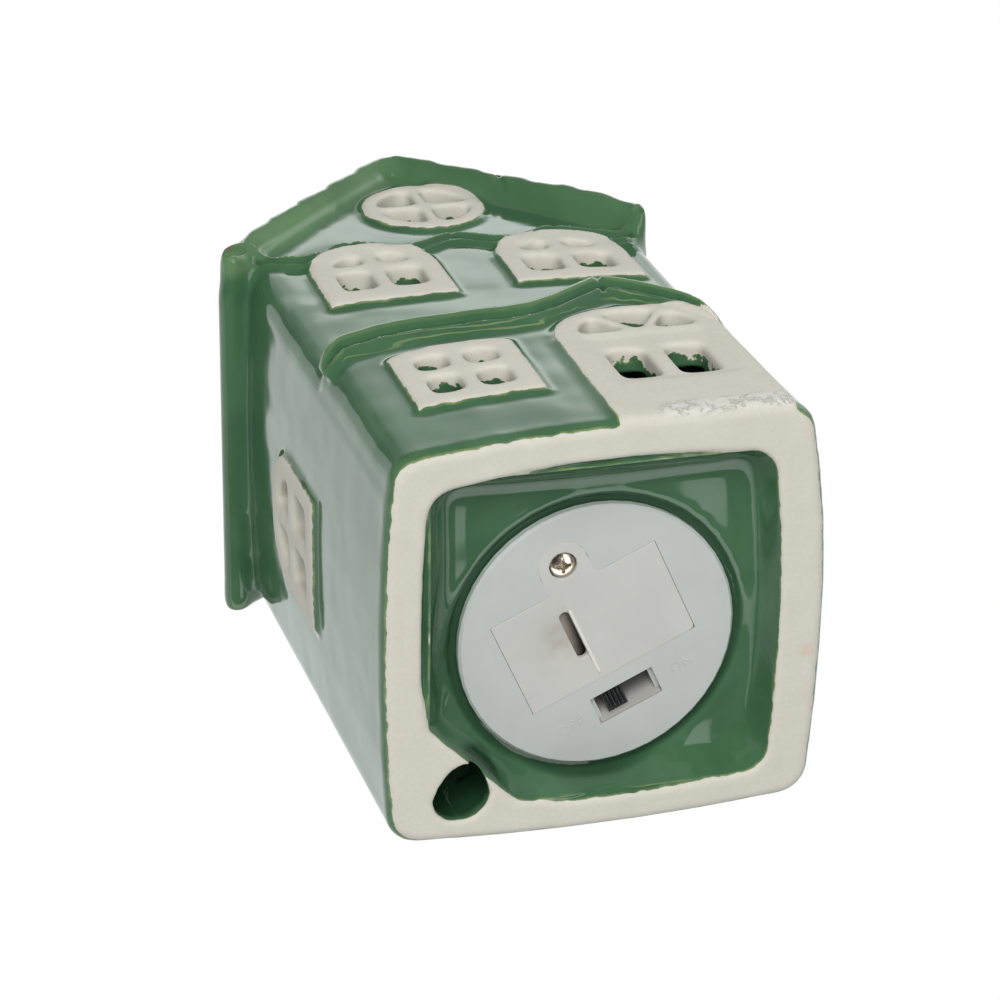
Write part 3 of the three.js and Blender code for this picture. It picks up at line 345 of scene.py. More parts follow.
def evaluated_copy(source, name, *modifiers):
    """New object with the source's mesh after these modifiers, each a kind and its settings."""
    work = bpy.data.objects.new("work", source.data.copy())
    bpy.context.scene.collection.objects.link(work)
    for kind, settings in modifiers:
        modifier = work.modifiers.new(kind, kind)
        for key, value in settings.items():
            setattr(modifier, key, value)
    graph = bpy.context.evaluated_depsgraph_get()
    mesh = bpy.data.meshes.new_from_object(work.evaluated_get(graph), depsgraph=graph)
    bpy.data.objects.remove(work)
    mesh.name = name
    made = bpy.data.objects.new(name, mesh)
    bpy.context.scene.collection.objects.link(made)
    return made


def points_of(mesh):
    co = np.empty(len(mesh.vertices) * 3)
    mesh.vertices.foreach_get("co", co)
    return co.reshape(-1, 3)


def normals_of(mesh):
    normals = np.empty(len(mesh.vertices) * 3)
    mesh.vertices.foreach_get("normal", normals)
    return normals.reshape(-1, 3)


def edges_of(mesh):
    pairs = np.empty(len(mesh.edges) * 2, np.int64)
    mesh.edges.foreach_get("vertices", pairs)
    return pairs.reshape(-1, 2)


def mean_of_neighbours(values, pairs, counts):
    total = np.zeros_like(values)
    for k in range(values.shape[1]):
        total[:, k] = (np.bincount(pairs[:, 0], values[pairs[:, 1], k], len(values))
                       + np.bincount(pairs[:, 1], values[pairs[:, 0], k], len(values)))
    return total / counts[:, None]


def smoothed(values, pairs, share, rounds):
    """Values after each has moved by its share towards its neighbours' mean, some rounds over."""
    counts = np.bincount(pairs.ravel(), minlength=len(values)).clip(1)
    share = np.asarray(share).reshape(-1, 1)
    for _ in range(rounds):
        values = values + share * (mean_of_neighbours(values, pairs, counts) - values)
    return values


def rounded(co, pairs, share, rounds, give=1.0):
    """Rounds edges over and then gives back most of the size that this takes off."""
    calm = smoothed(co, pairs, share, rounds)
    return calm + give * smoothed(co - calm, pairs, share, rounds)


def rounded_where(co, pairs, weight, rounds, give):
    """The same for the points with some weight, each as far as its weight says."""
    near = weight > 0.01
    for _ in range(3):
        near[pairs[near[pairs].any(1)].ravel()] = True
    number = np.cumsum(near) - 1
    own = number[pairs[near[pairs].all(1)]]
    co = co.copy()
    co[near] = rounded(co[near], own, 0.5 * weight[near], rounds, give[near][:, None])
    return co


def roundness(co, normals, pairs, reach):
    """How far the surface stands out from its smoothed shape: over zero on ridges, under it in creases."""
    calm = smoothed(co, pairs, 0.5, reach)
    return ((co - calm) * normals).sum(1)


def set_points(mesh, co):
    mesh.vertices.foreach_set("co", co.ravel())
    mesh.update()


def set_attribute(mesh, name, values):
    mesh.attributes.new(name, "FLOAT", "POINT").data.foreach_set("value", values.astype(np.float32))


def step(values, low, high):
    """Smooth step from 0 at low to 1 at high."""
    t = np.clip((values - low) / (high - low), 0, 1)
    return t * t * (3 - 2 * t)


def hump(values, low, high):
    """Smooth hill from low to high, 1 at its top."""
    t = np.clip((values - low) / (high - low), 0, 1)
    return np.sin(math.pi * t) ** 0.8


def spot(p, at, reach):
    """Round mark: 1 at its middle and 0 beyond its reach."""
    return step(np.linalg.norm(p - np.array(at), axis=1), reach, 0.5 * reach)


# Outlines on the walls, and distances from them

def arch(window):
    """Window or door outline: straight sides and a curved top."""
    half, top, curve = window["w"] / 2, window["h"], window["rise"]
    points = [(-half, 0), (half, 0)]
    for i in range(13):
        angle = math.pi * i / 12
        bend = math.copysign(abs(math.cos(angle)) ** 0.9, math.cos(angle))
        points.append((half * bend, top - curve + curve * math.sin(angle) ** 0.95))
    return [(window["at"] + a, window["sill"] + b) for a, b in points]


def inside_by(points, outline):
    """How far each point lies inside a closed outline, or less than zero outside it."""
    far = np.full(len(points), np.inf)
    inside = np.zeros(len(points), bool)
    for (x0, y0), (x1, y1) in zip(outline, outline[1:] + outline[:1]):
        d = np.array((x1 - x0, y1 - y0))
        rel = points - (x0, y0)
        along = np.clip(rel @ d / max(d @ d, 1e-9), 0, 1)
        far = np.minimum(far, np.hypot(*(rel - along[:, None] * d).T))
        crosses = (y0 > points[:, 1]) != (y1 > points[:, 1])
        at = x0 + (points[:, 1] - y0) * (x1 - x0) / (y1 - y0 if y1 != y0 else 1)
        inside ^= crosses & (points[:, 0] < at)
    return np.where(inside, far, -far)


def from_unit(p):
    return np.hypot(p[:, 0] - UNIT_X, p[:, 1] - UNIT_Y)


def from_drain(p):
    return np.hypot(p[:, 0] - DRAIN_X, p[:, 1] - DRAIN_Y)


def in_frames(p):
    """How far each point lies inside the outline of the window or door frame on its own wall."""
    x, y, z = p.T
    front = p[:, [0, 2]]
    upper, lower = y < UPPER_FRONT_Y + FRAME_REACH, y < LOWER_FRONT_Y + FRAME_REACH
    in_round = ROUND_WINDOW["r"] - np.hypot(x - ROUND_WINDOW["x"], z - ROUND_WINDOW["z"])
    depth = np.where((y > GABLE_FRONT_Y) & upper, in_round, FAR_OUT)
    rows = ((LEFT_WINDOW, upper), (RIGHT_WINDOW, upper), (SQUARE_WINDOW, lower), (DOOR, lower))
    for window, near in rows:
        depth = np.maximum(depth, np.where(near, inside_by(front, arch(window)), FAR_OUT))
    side = inside_by(p[:, [1, 2]], arch(SIDE_WINDOW))
    return np.maximum(depth, np.where(np.abs(x - MIDDLE_X) > SIDE_X - FRAME_REACH, side, FAR_OUT))


def behind_wall(p):
    """How deep each point lies behind the front of the frames on the wall nearest to it."""
    x, y, z = p.T
    front = np.where(z < ledge_top(x) - 0.5, LOWER_FRONT_Y, UPPER_FRONT_Y - FRAME_OUT_FRONT)
    return np.minimum(y - front, SIDE_X + FRAME_OUT_SIDE - np.abs(x - MIDDLE_X))


def bare_depth(p):
    """How far each point lies inside the unglazed areas: the frames, the door and the foot rim."""
    frames = np.minimum(in_frames(p) - LIP, BARE_DEEP - behind_wall(p))
    return np.maximum(np.maximum(frames, FOOT_BARE - p[:, 2]), FAR_OUT)


def ledge_top(x):
    path = np.array(LEDGE_PATH)
    return np.interp(x, path[:, 0], path[:, 1])


def wave_top(x):
    return WAVE_TOP_Z + WAVE_RISE * np.cos(2 * math.pi * (x - WAVE_CREST_X) / WAVE_LENGTH)


def roof_under(p):
    """How far each point lies below the roof's top lines."""
    return RIDGE_Z - np.abs(p[:, 0] - RIDGE_X) * ROOF_FALL - p[:, 2]


# The house

def eave_ends(p):
    """1 at the two low ends of the roof."""
    return step(np.abs(p[:, 0] - RIDGE_X), *EAVE_END_X)


def softness(p):
    """Where the forms are rounded most: the roof's front edge and eaves, and the walls of the recess."""
    x, y, z = p.T
    under = roof_under(p)
    edge = step(under, ROOF_DROP + 5, ROOF_DROP + 2) * step(y, *VERGE_Y)
    roof = edge * np.maximum(VERGE_SOFT, eave_ends(p))
    low = step(under, ROOF_DROP + 4, ROOF_DROP + 1)
    eaves = EAVE_SOFT * low * step(np.abs(x - RIDGE_X), *EAVE_SIDE_X)
    inner = (np.abs(x) < RECESS_HALF) & (np.abs(y) < RECESS_HALF)
    level = step(z, *RECESS_IN_Z) * step(z, *RECESS_OUT_Z)
    recess = level * step(from_unit(p), SEAT_R, SEAT_R + 1) * step(from_drain(p), *DRAIN_SOFT) * inner
    return np.maximum(np.maximum(roof, eaves), recess)


def relief(p):
    """How far the mouldings on the front stand out beyond the plain bands."""
    x, y, z = p.T
    below = ledge_top(x) - z
    lower = step(y, *LOWER_Y) * step(z, *LOWER_Z)
    out = lower * sum(rise * hump(below, top, foot) for rise, top, foot in LEDGE_ROLLS)
    crest = np.exp(-((x - LEDGE_CREST_X) / CREST_WIDE) ** 2)
    out -= CREST_NOTCH * lower * step(below, *CREST_BELOW) * crest
    under = wave_top(x) - z
    upper = step(y, *WAVE_Y) * step(in_frames(p), *OFF_FRAMES) * step(under, *WAVE_START)
    cut = WAVE_UNDERCUT * step(under, WAVE_HEIGHT + 1.3, WAVE_HEIGHT - 1.2)
    out += upper * (WAVE_OUT * step(under, *WAVE_LIP) - cut)
    off = (x - WAVE_CREST_X + WAVE_LENGTH / 2) % WAVE_LENGTH - WAVE_LENGTH / 2
    return out - WAVE_NOTCH * upper * hump(under, -0.5, WAVE_HEIGHT) * np.exp(-(off / WAVE_NOTCH_WIDE) ** 2)


def recess_eased(p):
    """The walls of the recess leaned back, furthest on the left and at the front."""
    x, y, z = p.T
    reach = [(x - edge) / lean for edge, lean in RECESS_ACROSS]
    reach += [(y - edge) / lean for edge, lean in RECESS_ALONG]
    t = np.clip(np.min(reach, 0), 0, 1)
    slope = RECESS_DEPTH * (1 - (1 - t) ** LEAN_CURVE) + RECESS_LIP
    free = step(from_unit(p), SEAT_R, SEAT_R + 1.2) * step(from_drain(p), *DRAIN_CLEAR)
    free = free * (z < RECESS_TOP_Z) * (z > RECESS_LOW_Z) * (t > 0) * (np.abs(x) < RECESS_HALF)
    out = p.copy()
    out[:, 2] = z - free * np.maximum(z - slope, 0)
    return out


def verge_rounded(p):
    """The roof's front edge turned from a square one into a quarter round, down to the gable."""
    side = np.where(p[:, 0] < RIDGE_X, -1.0, 1.0)
    up = np.stack([side * math.sin(ROOF_TILT), np.zeros(len(p)), np.full(len(p), math.cos(ROOF_TILT))], 1)
    down = roof_under(p) * math.cos(ROOF_TILT) - VERGE_TOP
    back = VERGE_BACK_Y - p[:, 1]
    here = (down > 0) & (down < VERGE_HIGH + 0.5) & (back > 0) & (back < VERGE_DEEP + 1.5)
    angle = np.arctan2(np.maximum(down, 1e-6) / VERGE_HIGH, np.maximum(back, 1e-6) / VERGE_DEEP)
    across, along = np.cos(angle), np.sin(angle)
    curve = np.maximum(across, along) / (across ** VERGE_CURVE + along ** VERGE_CURVE) ** (1 / VERGE_CURVE)
    ends = step(np.abs(p[:, 0] - RIDGE_X), *VERGE_END_X)
    pull = 1 - ends * (1 - curve)
    moved = p - (down * (pull - 1))[:, None] * up
    moved[:, 1] = VERGE_BACK_Y - back * pull
    return np.where(here[:, None], moved, p)


def shaped(co, pairs, normals):
    """The body's points with soft forms: wide panes, round roof edge, leaned recess and mouldings."""
    frames = in_frames(co)
    to_side = np.abs(co[:, 0] - MIDDLE_X) > SIDE_X - 5
    facing = np.where(to_side, np.abs(normals[:, 0]), np.abs(normals[:, 1]))
    widen = step(frames, *PANE_IN) * step(facing, *PANE_ACROSS) * step(behind_wall(co), *PANE_BEHIND)
    co = co - (PANE_WIDER * widen)[:, None] * normals
    co = recess_eased(verge_rounded(co))
    blunt = eave_ends(co) * step(co[:, 1], *BLUNT_Y) * (co[:, 2] > BLUNT_LOW_Z)
    co = rounded_where(co, pairs, softness(co), SOFT_ROUNDING, 1 - BLUNT_KEPT * blunt)
    framed = step(frames, *FRAMED)[:, None]
    co = rounded(co, pairs, 0.5 - 0.12 * framed, ROUNDING, 1 - 0.8 * framed)
    bars = step(frames, *BARS_IN) * step(behind_wall(co), *BARS_BEHIND)
    co = rounded_where(co, pairs, bars, FRAME_ROUNDING, np.full(len(co), 0.5))
    co[:, 1] -= relief(co) * step(normals[:, 1], *TO_FRONT)
    return co


def marks(co):
    """What the glaze needs to know about each point, by name."""
    x, y, z = co.T
    under, deep = roof_under(co), behind_wall(co)
    inner = np.minimum(np.minimum(deep - WALL, z - ROOM_FLOOR_Z), BACK_Y - WALL - y)
    # Painted highlight along the roof's front edge, strongest on the left.
    verge_highlight = step(y, *VERGE_PALE_Y) * hump(under, -0.5, ROOF_DROP + 2)
    # Painted shade: the disc's shadow as a darker ring round the LED unit, and the dark drain hole.
    seat_shadow = step(from_unit(co), SEAT_R + 0.5, SEAT_R - 0.3) * step(z, *SEAT_Z)
    drain = step(from_drain(co), *DRAIN_R) * step(z, *DRAIN_IN_Z) * step(z, *DRAIN_OUT_Z)
    sanded = step(np.abs(x - SANDED_X), *SANDED_ACROSS) * step(np.abs(z - SANDED_Z), *SANDED_UP)
    return dict(
        bare=bare_depth(co),
        pane=step(in_frames(co), *GREEN_IN) * step(deep, *GREEN_BEHIND) * step(z, *GREEN_Z),
        # Painted shade on the walls inside the house.
        inside=step(np.minimum(inner, under - ROOF_DROP), *INSIDE_WALL),
        verge_highlight=verge_highlight * (0.25 + 0.75 * step(x, *VERGE_LEFT_X)),
        shade=np.maximum(seat_shadow, DRAIN_PAINTED_SHADE * drain),
        blush=spot(co, BLUSH_AT, BLUSH_R),
        chip=spot(co, CHIP_AT, CHIP_R),
        sanded=sanded * step(y, *SANDED_Y),
        ledge=np.where(y < LEDGE_FRONT_Y, ledge_top(x) - z, NO_LEDGE),
    )


def add_house(glaze):
    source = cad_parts["house_body"]
    house = evaluated_copy(source, "glazed_house", ("REMESH", dict(mode="VOXEL", voxel_size=VOXEL * MM)))
    mesh = house.data
    origin = np.array(SHIFT)
    pairs = edges_of(mesh)
    co = shaped(points_of(mesh) / MM - origin, pairs, normals_of(mesh))
    set_points(mesh, (co + origin) * MM)
    ridge = roundness(co, normals_of(mesh), pairs, RIDGE_REACH)
    set_attribute(mesh, "ridge", smoothed(ridge[:, None], pairs, 0.5, 2)[:, 0])
    for name, values in marks(co).items():
        set_attribute(mesh, name, values)
    mesh.shade_smooth()
    finish_piece(house, glaze, "house", "house_body")


# The LED unit

def in_unit(u, v, z):
    """Point of the LED unit, given across and along its turned face, in the part's frame."""
    c, n = math.cos(UNIT_TURN), math.sin(UNIT_TURN)
    return (UNIT_X + u * c - v * n, UNIT_Y + u * n + v * c, z)


def unit_points(co):
    """The same the other way round, for an array of points in metres."""
    c, n = math.cos(UNIT_TURN), math.sin(UNIT_TURN)
    p = co / MM - np.array(SHIFT) - (UNIT_X, UNIT_Y, 0)
    return p[:, 0] * c + p[:, 1] * n, p[:, 1] * c - p[:, 0] * n, p[:, 2]


def place_unit(mesh, u, v, z):
    set_points(mesh, (np.stack(in_unit(u, v, z), 1) + np.array(SHIFT)) * MM)


def meshed(curve, name):
    """New mesh of a curve, which is taken away."""
    rough = bpy.data.objects.new(name, curve)
    bpy.context.scene.collection.objects.link(rough)
    graph = bpy.context.evaluated_depsgraph_get()
    mesh = bpy.data.meshes.new_from_object(rough.evaluated_get(graph), depsgraph=graph)
    bpy.data.objects.remove(rough)
    return mesh


def plate(name, outlines, low, high, voxel):
    """Finely meshed plate on the unit's face, from closed outlines: the first solid, the rest holes."""
    curve = bpy.data.curves.new(name, "CURVE")
    curve.dimensions = "2D"
    curve.fill_mode = "BOTH"
    curve.extrude = (high - low) / 2 * MM
    for points in outlines:
        spline = curve.splines.new("POLY")
        spline.points.add(len(points) - 1)
        spline.use_cyclic_u = True
        for point, (u, v) in zip(spline.points, points):
            point.co = (u * MM, v * MM, 0, 1)
    flat = bpy.data.objects.new("flat", meshed(curve, name))
    made = evaluated_copy(flat, name, ("REMESH", dict(mode="VOXEL", voxel_size=voxel * MM)))
    bpy.data.objects.remove(flat)
    u, v, z = (points_of(made.data) / MM).T
    place_unit(made.data, u, v, z + (low + high) / 2)
    return made


def circle(u, v, r, start=0, end=360, count=32):
    angles = [math.radians(start + (end - start) * i / count) for i in range(count + 1)]
    return [(u + r * math.cos(a), v + r * math.sin(a)) for a in angles]


def dished(mesh, field, thick):
    """Moves the unit's outer face inward by a field of depths, and what lies under it less and less."""
    u, v, z = unit_points(points_of(mesh))
    share = np.clip(1 - (z - FACE_Z) / thick, 0, 1)
    place_unit(mesh, u, v, z + field(u, v) * share)
    mesh.shade_smooth()


def finish_piece(obj, material, body, replaced=None):
    obj.data.materials.clear()
    obj.data.materials.append(material)
    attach(obj, body)
    if replaced:
        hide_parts(replaced)


def near_slot(u, v):
    return np.exp(-((u - SLOT_U) / 4.4) ** 2 - ((v - SLOT_V - 0.2) / 4.0) ** 2)


def hatch_depth(u, v):
    """Depth of the thumb hollow, which falls from the left half to the slot and ends at a step."""
    return HOLLOW_DEEP * near_slot(u, v) * step(u, STEP_U + 0.12, STEP_U - 0.12)


def hatch_outline():
    """The lid with its screw tab and one rounded corner."""
    half_u, half_v = HATCH_W / 2 + HATCH_FILL, HATCH_H / 2 + HATCH_FILL
    tab, top, low = HATCH_TAB_R + HATCH_FILL, HATCH_V - half_v, HATCH_V + half_v
    neck = ((tab + 0.9, top), (tab + 0.2, top - 0.8))
    outline = [(-half_u, low), (-half_u, top)] + [(-u, v) for u, v in neck]
    outline += circle(0, HATCH_TAB_V, tab, 180, 360)
    outline += [*reversed(neck), (half_u, top)]
    return outline + circle(half_u - HATCH_CORNER, low - HATCH_CORNER, HATCH_CORNER, 0, 90, 6)


def add_hatch(plastic):
    end = SLOT_H / 2 - SLOT_W / 2
    slot = circle(SLOT_U, SLOT_V + end, SLOT_W / 2, 0, 180, 10)
    slot += circle(SLOT_U, SLOT_V - end, SLOT_W / 2, 180, 360, 10)
    hole = circle(0, HATCH_TAB_V, SCREW_R + 0.2)
    hatch = plate("hatch_lid", [hatch_outline(), slot, hole], FACE_Z, FACE_Z + HATCH_T, LID_VOXEL)
    dished(hatch.data, hatch_depth, HATCH_T)
    u, v, _ = unit_points(points_of(hatch.data))
    # Browner, in patches, in the thumb hollow beside the slot.
    set_attribute(hatch.data, "hollow_tint", near_slot(u + 0.6, v) * step(u, STEP_U + 0.2, STEP_U - 0.2))
    finish_piece(hatch, plastic, "hatch", "battery_hatch")


def add_slot_lip(plastic):
    """Thin raised lip along the step beside the slot, in a plastic lighter than the hatch's as a painted
    highlight.
    """
    low, high = LIP_V
    outline = circle(STEP_U + LIP_HALF, low, LIP_HALF, 180, 360, 8)
    outline += circle(STEP_U + LIP_HALF, high, LIP_HALF, 0, 180, 8)
    lip = plate("slot_lip", [outline], FACE_Z - 0.16, FACE_Z + 0.3, LIP_VOXEL)
    lip.data.shade_smooth()
    finish_piece(lip, plastic, "hatch", None)


def grid_surface(name, us, vs, height, thick, shade=None):
    """Closed plate over a grid, its outer face at a height function and its back flat behind it."""
    uu, vv = np.meshgrid(us, vs, indexing="ij")
    front = height(uu, vv)
    back = np.full(uu.shape, front.max() + thick)
    u, v, z = (np.concatenate((a.ravel(), b.ravel())) for a, b in ((uu, uu), (vv, vv), (front, back)))
    rows, cols = len(us), len(vs)
    size = rows * cols
    faces = []
    for i in range(rows - 1):
        for j in range(cols - 1):
            a, b = i * cols + j, (i + 1) * cols + j
            faces += [(a, a + 1, b + 1, b), (a + size, b + size, b + 1 + size, a + 1 + size)]
    loop = ([(i, 0) for i in range(rows)] + [(rows - 1, j) for j in range(1, cols)]
            + [(i, cols - 1) for i in range(rows - 2, -1, -1)] + [(0, j) for j in range(cols - 2, 0, -1)])
    ring = [i * cols + j for i, j in loop]
    for a, b in zip(ring, ring[1:] + ring[:1]):
        faces.append((a, b, b + size, a + size))
    mesh = bpy.data.meshes.new(name)
    mesh.from_pydata(np.zeros((2 * size, 3)).tolist(), [], faces)
    place_unit(mesh, u, v, z)
    if shade:
        set_attribute(mesh, "shade", np.tile(shade(uu, vv).ravel(), 2))
    mesh.shade_smooth()
    made = bpy.data.objects.new(name, mesh)
    bpy.context.scene.collection.objects.link(made)
    return made


def slot_floor_height(u, v):
    rise = (u - SLOT_U + SLOT_FLOOR_HALF) / (2 * SLOT_FLOOR_HALF)
    return FACE_Z + HATCH_T + SLOT_FLOOR_GAP + SLOT_FLOOR_RISE * rise


def slot_shade(u, v):
    right = (u - u.min()) / (u.max() - u.min())
    down = (v - v.min()) / (v.max() - v.min())
    return np.clip(0.95 - 0.6 * right - 0.55 * down, 0, 1)


def add_slot_floor(material):
    """Wall seen through the finger slot, its colour painted with light at its left top and shade at its
    right bottom.
    """
    half_v = SLOT_H / 2 + 0.3
    us = np.linspace(SLOT_U - SLOT_FLOOR_HALF, SLOT_U + SLOT_FLOOR_HALF, 13)
    vs = np.linspace(SLOT_V - half_v, SLOT_V + half_v, 25)
    floor = grid_surface("slot_floor", us, vs, slot_floor_height, 0.12, slot_shade)
    finish_piece(floor, material, "hatch", None)


def screw_height(r, angle):
    """Pan head with a cross recess: depth below the top of the head."""
    dome = 0.55 * (r / SCREW_R) ** 3.0
    across = np.minimum(np.abs(r * np.cos(angle)), np.abs(r * np.sin(angle)))
    along = np.maximum(np.abs(r * np.cos(angle)), np.abs(r * np.sin(angle)))
    arm = step(across, 0.34 - 0.1 * along, 0.22 - 0.1 * along) * step(along, 1.35, 1.15)
    star = np.maximum(arm, 0.8 * step(r, 0.75, 0.5))
    return dome + star * np.clip(1.0 - 0.45 * along, 0.25, 1)


def add_screw(metal):
    """Turned solid in rings: the shaped head, its underside, the shank and a blunt end."""
    angles = np.linspace(0, 2 * math.pi, SCREW_SPOKES, endpoint=False)
    points = [(0.0, 0.0, float(screw_height(0.0, 0.0)))]
    for k in range(1, SCREW_RINGS + 1):
        r = k / SCREW_RINGS * SCREW_R
        turned = angles + SCREW_TURN
        points += list(zip(r * np.cos(turned), r * np.sin(turned), screw_height(r, angles)))
    lower = ((SCREW_R, SCREW_HEAD), (SCREW_NECK_R, SCREW_HEAD), (SCREW_NECK_R, SCREW_LONG - 0.6),
             (SCREW_NECK_R / 2, SCREW_LONG))
    for r, depth in lower:
        points += [(r * math.cos(a), r * math.sin(a), depth) for a in angles]
    points.append((0.0, 0.0, SCREW_LONG))
    spokes = [(k, (k + 1) % SCREW_SPOKES) for k in range(SCREW_SPOKES)]
    faces = [(0, 1 + after, 1 + k) for k, after in spokes]
    last = SCREW_RINGS + len(lower) - 1
    for ring in range(last):
        a, b = 1 + ring * SCREW_SPOKES, 1 + (ring + 1) * SCREW_SPOKES
        faces += [(a + k, a + after, b + after, b + k) for k, after in spokes]
    end = 1 + last * SCREW_SPOKES
    faces += [(end + k, end + after, len(points) - 1) for k, after in spokes]
    mesh = bpy.data.meshes.new("hatch_screw_head")
    mesh.from_pydata(points, [], faces)
    u, v, z = np.array(points).T
    place_unit(mesh, u, v + HATCH_TAB_V, z + FACE_Z - SCREW_OUT)
    screw = bpy.data.objects.new("hatch_screw_head", mesh)
    bpy.context.scene.collection.objects.link(screw)
    finish_piece(screw, metal, "hatch", "hatch_screw")


def well_depth(u, v):
    """Depth of the switch well, deep along its upper side and rising to the face at its lower one."""
    rise = np.clip((v - WELL_TOP) / (WELL_LOW - WELL_TOP), 0, 1)
    return FACE_Z + 0.12 + WELL_DEEP * (1 - rise ** 6)


def well_shade(u, v):
    return np.clip((v - WELL_TOP) / (WELL_LOW - WELL_TOP), 0, 1) ** 1.9


# Switch well, its colour painted with shade: black along its deep upper side and light at its lower one.
def add_switch_well(material):
    us = np.linspace(-WELL_HALF, WELL_HALF, 41)
    vs = np.linspace(WELL_TOP, WELL_LOW, 31)
    well = grid_surface("switch_well", us, vs, well_depth, 0.1, well_shade)
    finish_piece(well, material, "house", None)


def knob_depth(u, v):
    """Low block with ribs across it, which end short of its two long sides."""
    phase = (u - KNOB_U[0]) / (KNOB_U[1] - KNOB_U[0]) * KNOB_RIBS % 1
    rib = np.exp(-((phase - 0.5) / RIB_WIDE) ** 2)
    end = step(v, KNOB_V[1], KNOB_V[1] - 0.7) * step(v, KNOB_V[0], KNOB_V[0] + 0.3)
    return FACE_Z + 0.8 - RIB_HIGH * rib * end + 0.2 * (1 - end)


def add_knob(plastic):
    knob = grid_surface("slide_knob", np.linspace(*KNOB_U, 91), np.linspace(*KNOB_V, 31), knob_depth, 0.12)
    finish_piece(knob, plastic, "knob", "switch_knob")


def add_letters(word, u, v, plastic):
    """Small raised letters on the unit's face, read with the hatch's screw above them."""
    name = "letters_" + word.lower()
    curve = bpy.data.curves.new(name, "FONT")
    curve.body = word
    curve.size = LETTER_SIZE * MM
    curve.align_x = "CENTER"
    curve.extrude = LETTER_OUT * MM
    curve.bevel_depth = LETTER_BEVEL * MM
    curve.space_character = 1.15
    mesh = meshed(curve, name)
    x, y, z = (points_of(mesh) / MM).T
    place_unit(mesh, u + x, v - y, FACE_Z - z + 0.02)
    letters = bpy.data.objects.new(mesh.name, mesh)
    bpy.context.scene.collection.objects.link(letters)
    finish_piece(letters, plastic, "house", None)


# Materials

def new_material(name):
    material = bpy.data.materials.new(name)
    material.use_nodes = True
    tree = material.node_tree
    tree.nodes.clear()
    shader = node(tree, "ShaderNodeBsdfPrincipled")
    out = node(tree, "ShaderNodeOutputMaterial")
    tree.links.new(shader.outputs[0], out.inputs[0])
    place = node(tree, "ShaderNodeTexCoord").outputs["Object"]
    return material, tree, shader, place


def noise_at(tree, place, size, detail=3.0, roughness=0.5, distortion=0.0):
    """Noise with features of about this size in millimetres, from 0 to 1."""
    return node(tree, "ShaderNodeTexNoise", {"Vector": place, "Scale": 1 / (size * MM), "Detail": detail,
                "Roughness": roughness, "Distortion": distortion}).outputs["Fac"]


def attribute(tree, name):
    return node(tree, "ShaderNodeAttribute", attribute_name=name).outputs["Fac"]


def tinted(tree, colour, shade):
    """Colour times a shade, which may be a number or a colour."""
    made = node(tree, "ShaderNodeMix", {0: 1.0, 7: shade}, data_type="RGBA", blend_type="MULTIPLY")
    if isinstance(colour, bpy.types.NodeSocket):
        tree.links.new(colour, made.inputs[6])
    else:
        made.inputs[6].default_value = (*colour, 1)
    return made.outputs[2]


def set_bump(tree, shader, height, distance, strength=1.0):
    bump = node(tree, "ShaderNodeBump", {"Height": height, "Distance": distance * MM, "Strength": strength})
    tree.links.new(bump.outputs[0], shader.inputs["Normal"])


def set_roughness(tree, shader, place, size, detail, low, high):
    """Roughness that wanders between two values, over features of this size."""
    rough = ramp_between(tree, noise_at(tree, place, size, detail), 0.3, 0.7, low, high)
    tree.links.new(rough, shader.inputs["Roughness"])


def glaze_border(tree, place):
    """How far inside the bare clay each point lies, with a ragged line and runs of glaze in the panes."""
    wander = math_node(tree, "SUBTRACT", noise_at(tree, place, 2.2, 4), 0.5)
    patch = math_node(tree, "SUBTRACT", noise_at(tree, place, 3.6, 3, 0.6), 0.47)
    spread = product(tree, patch, attribute(tree, "pane"), 7.0)
    ragged = math_node(tree, "MULTIPLY_ADD", wander, 0.7, spread)
    return math_node(tree, "ADD", attribute(tree, "bare"), ragged)


def drip_lines(tree, place):
    """Thin pale lines where thick glaze has run along the foot of the ledge."""
    ledge = attribute(tree, "ledge")
    long = node(tree, "ShaderNodeVectorMath", {0: place, 1: (0.25, 1, 1)}, operation="MULTIPLY").outputs[0]
    bent = math_node(tree, "MULTIPLY_ADD", noise_at(tree, long, 3.5, 2), 3.2, ledge)
    lines = 0.0
    for at in (5.4, 6.5, 8.0):
        off = math_node(tree, "ABSOLUTE", math_node(tree, "SUBTRACT", bent, at))
        lines = math_node(tree, "MAXIMUM", lines, ramp_between(tree, off, 0.1, 0.22, 1.0, 0.0))
    return product(tree, lines, ramp_between(tree, noise_at(tree, long, 6, 2), 0.42, 0.6), 0.4)


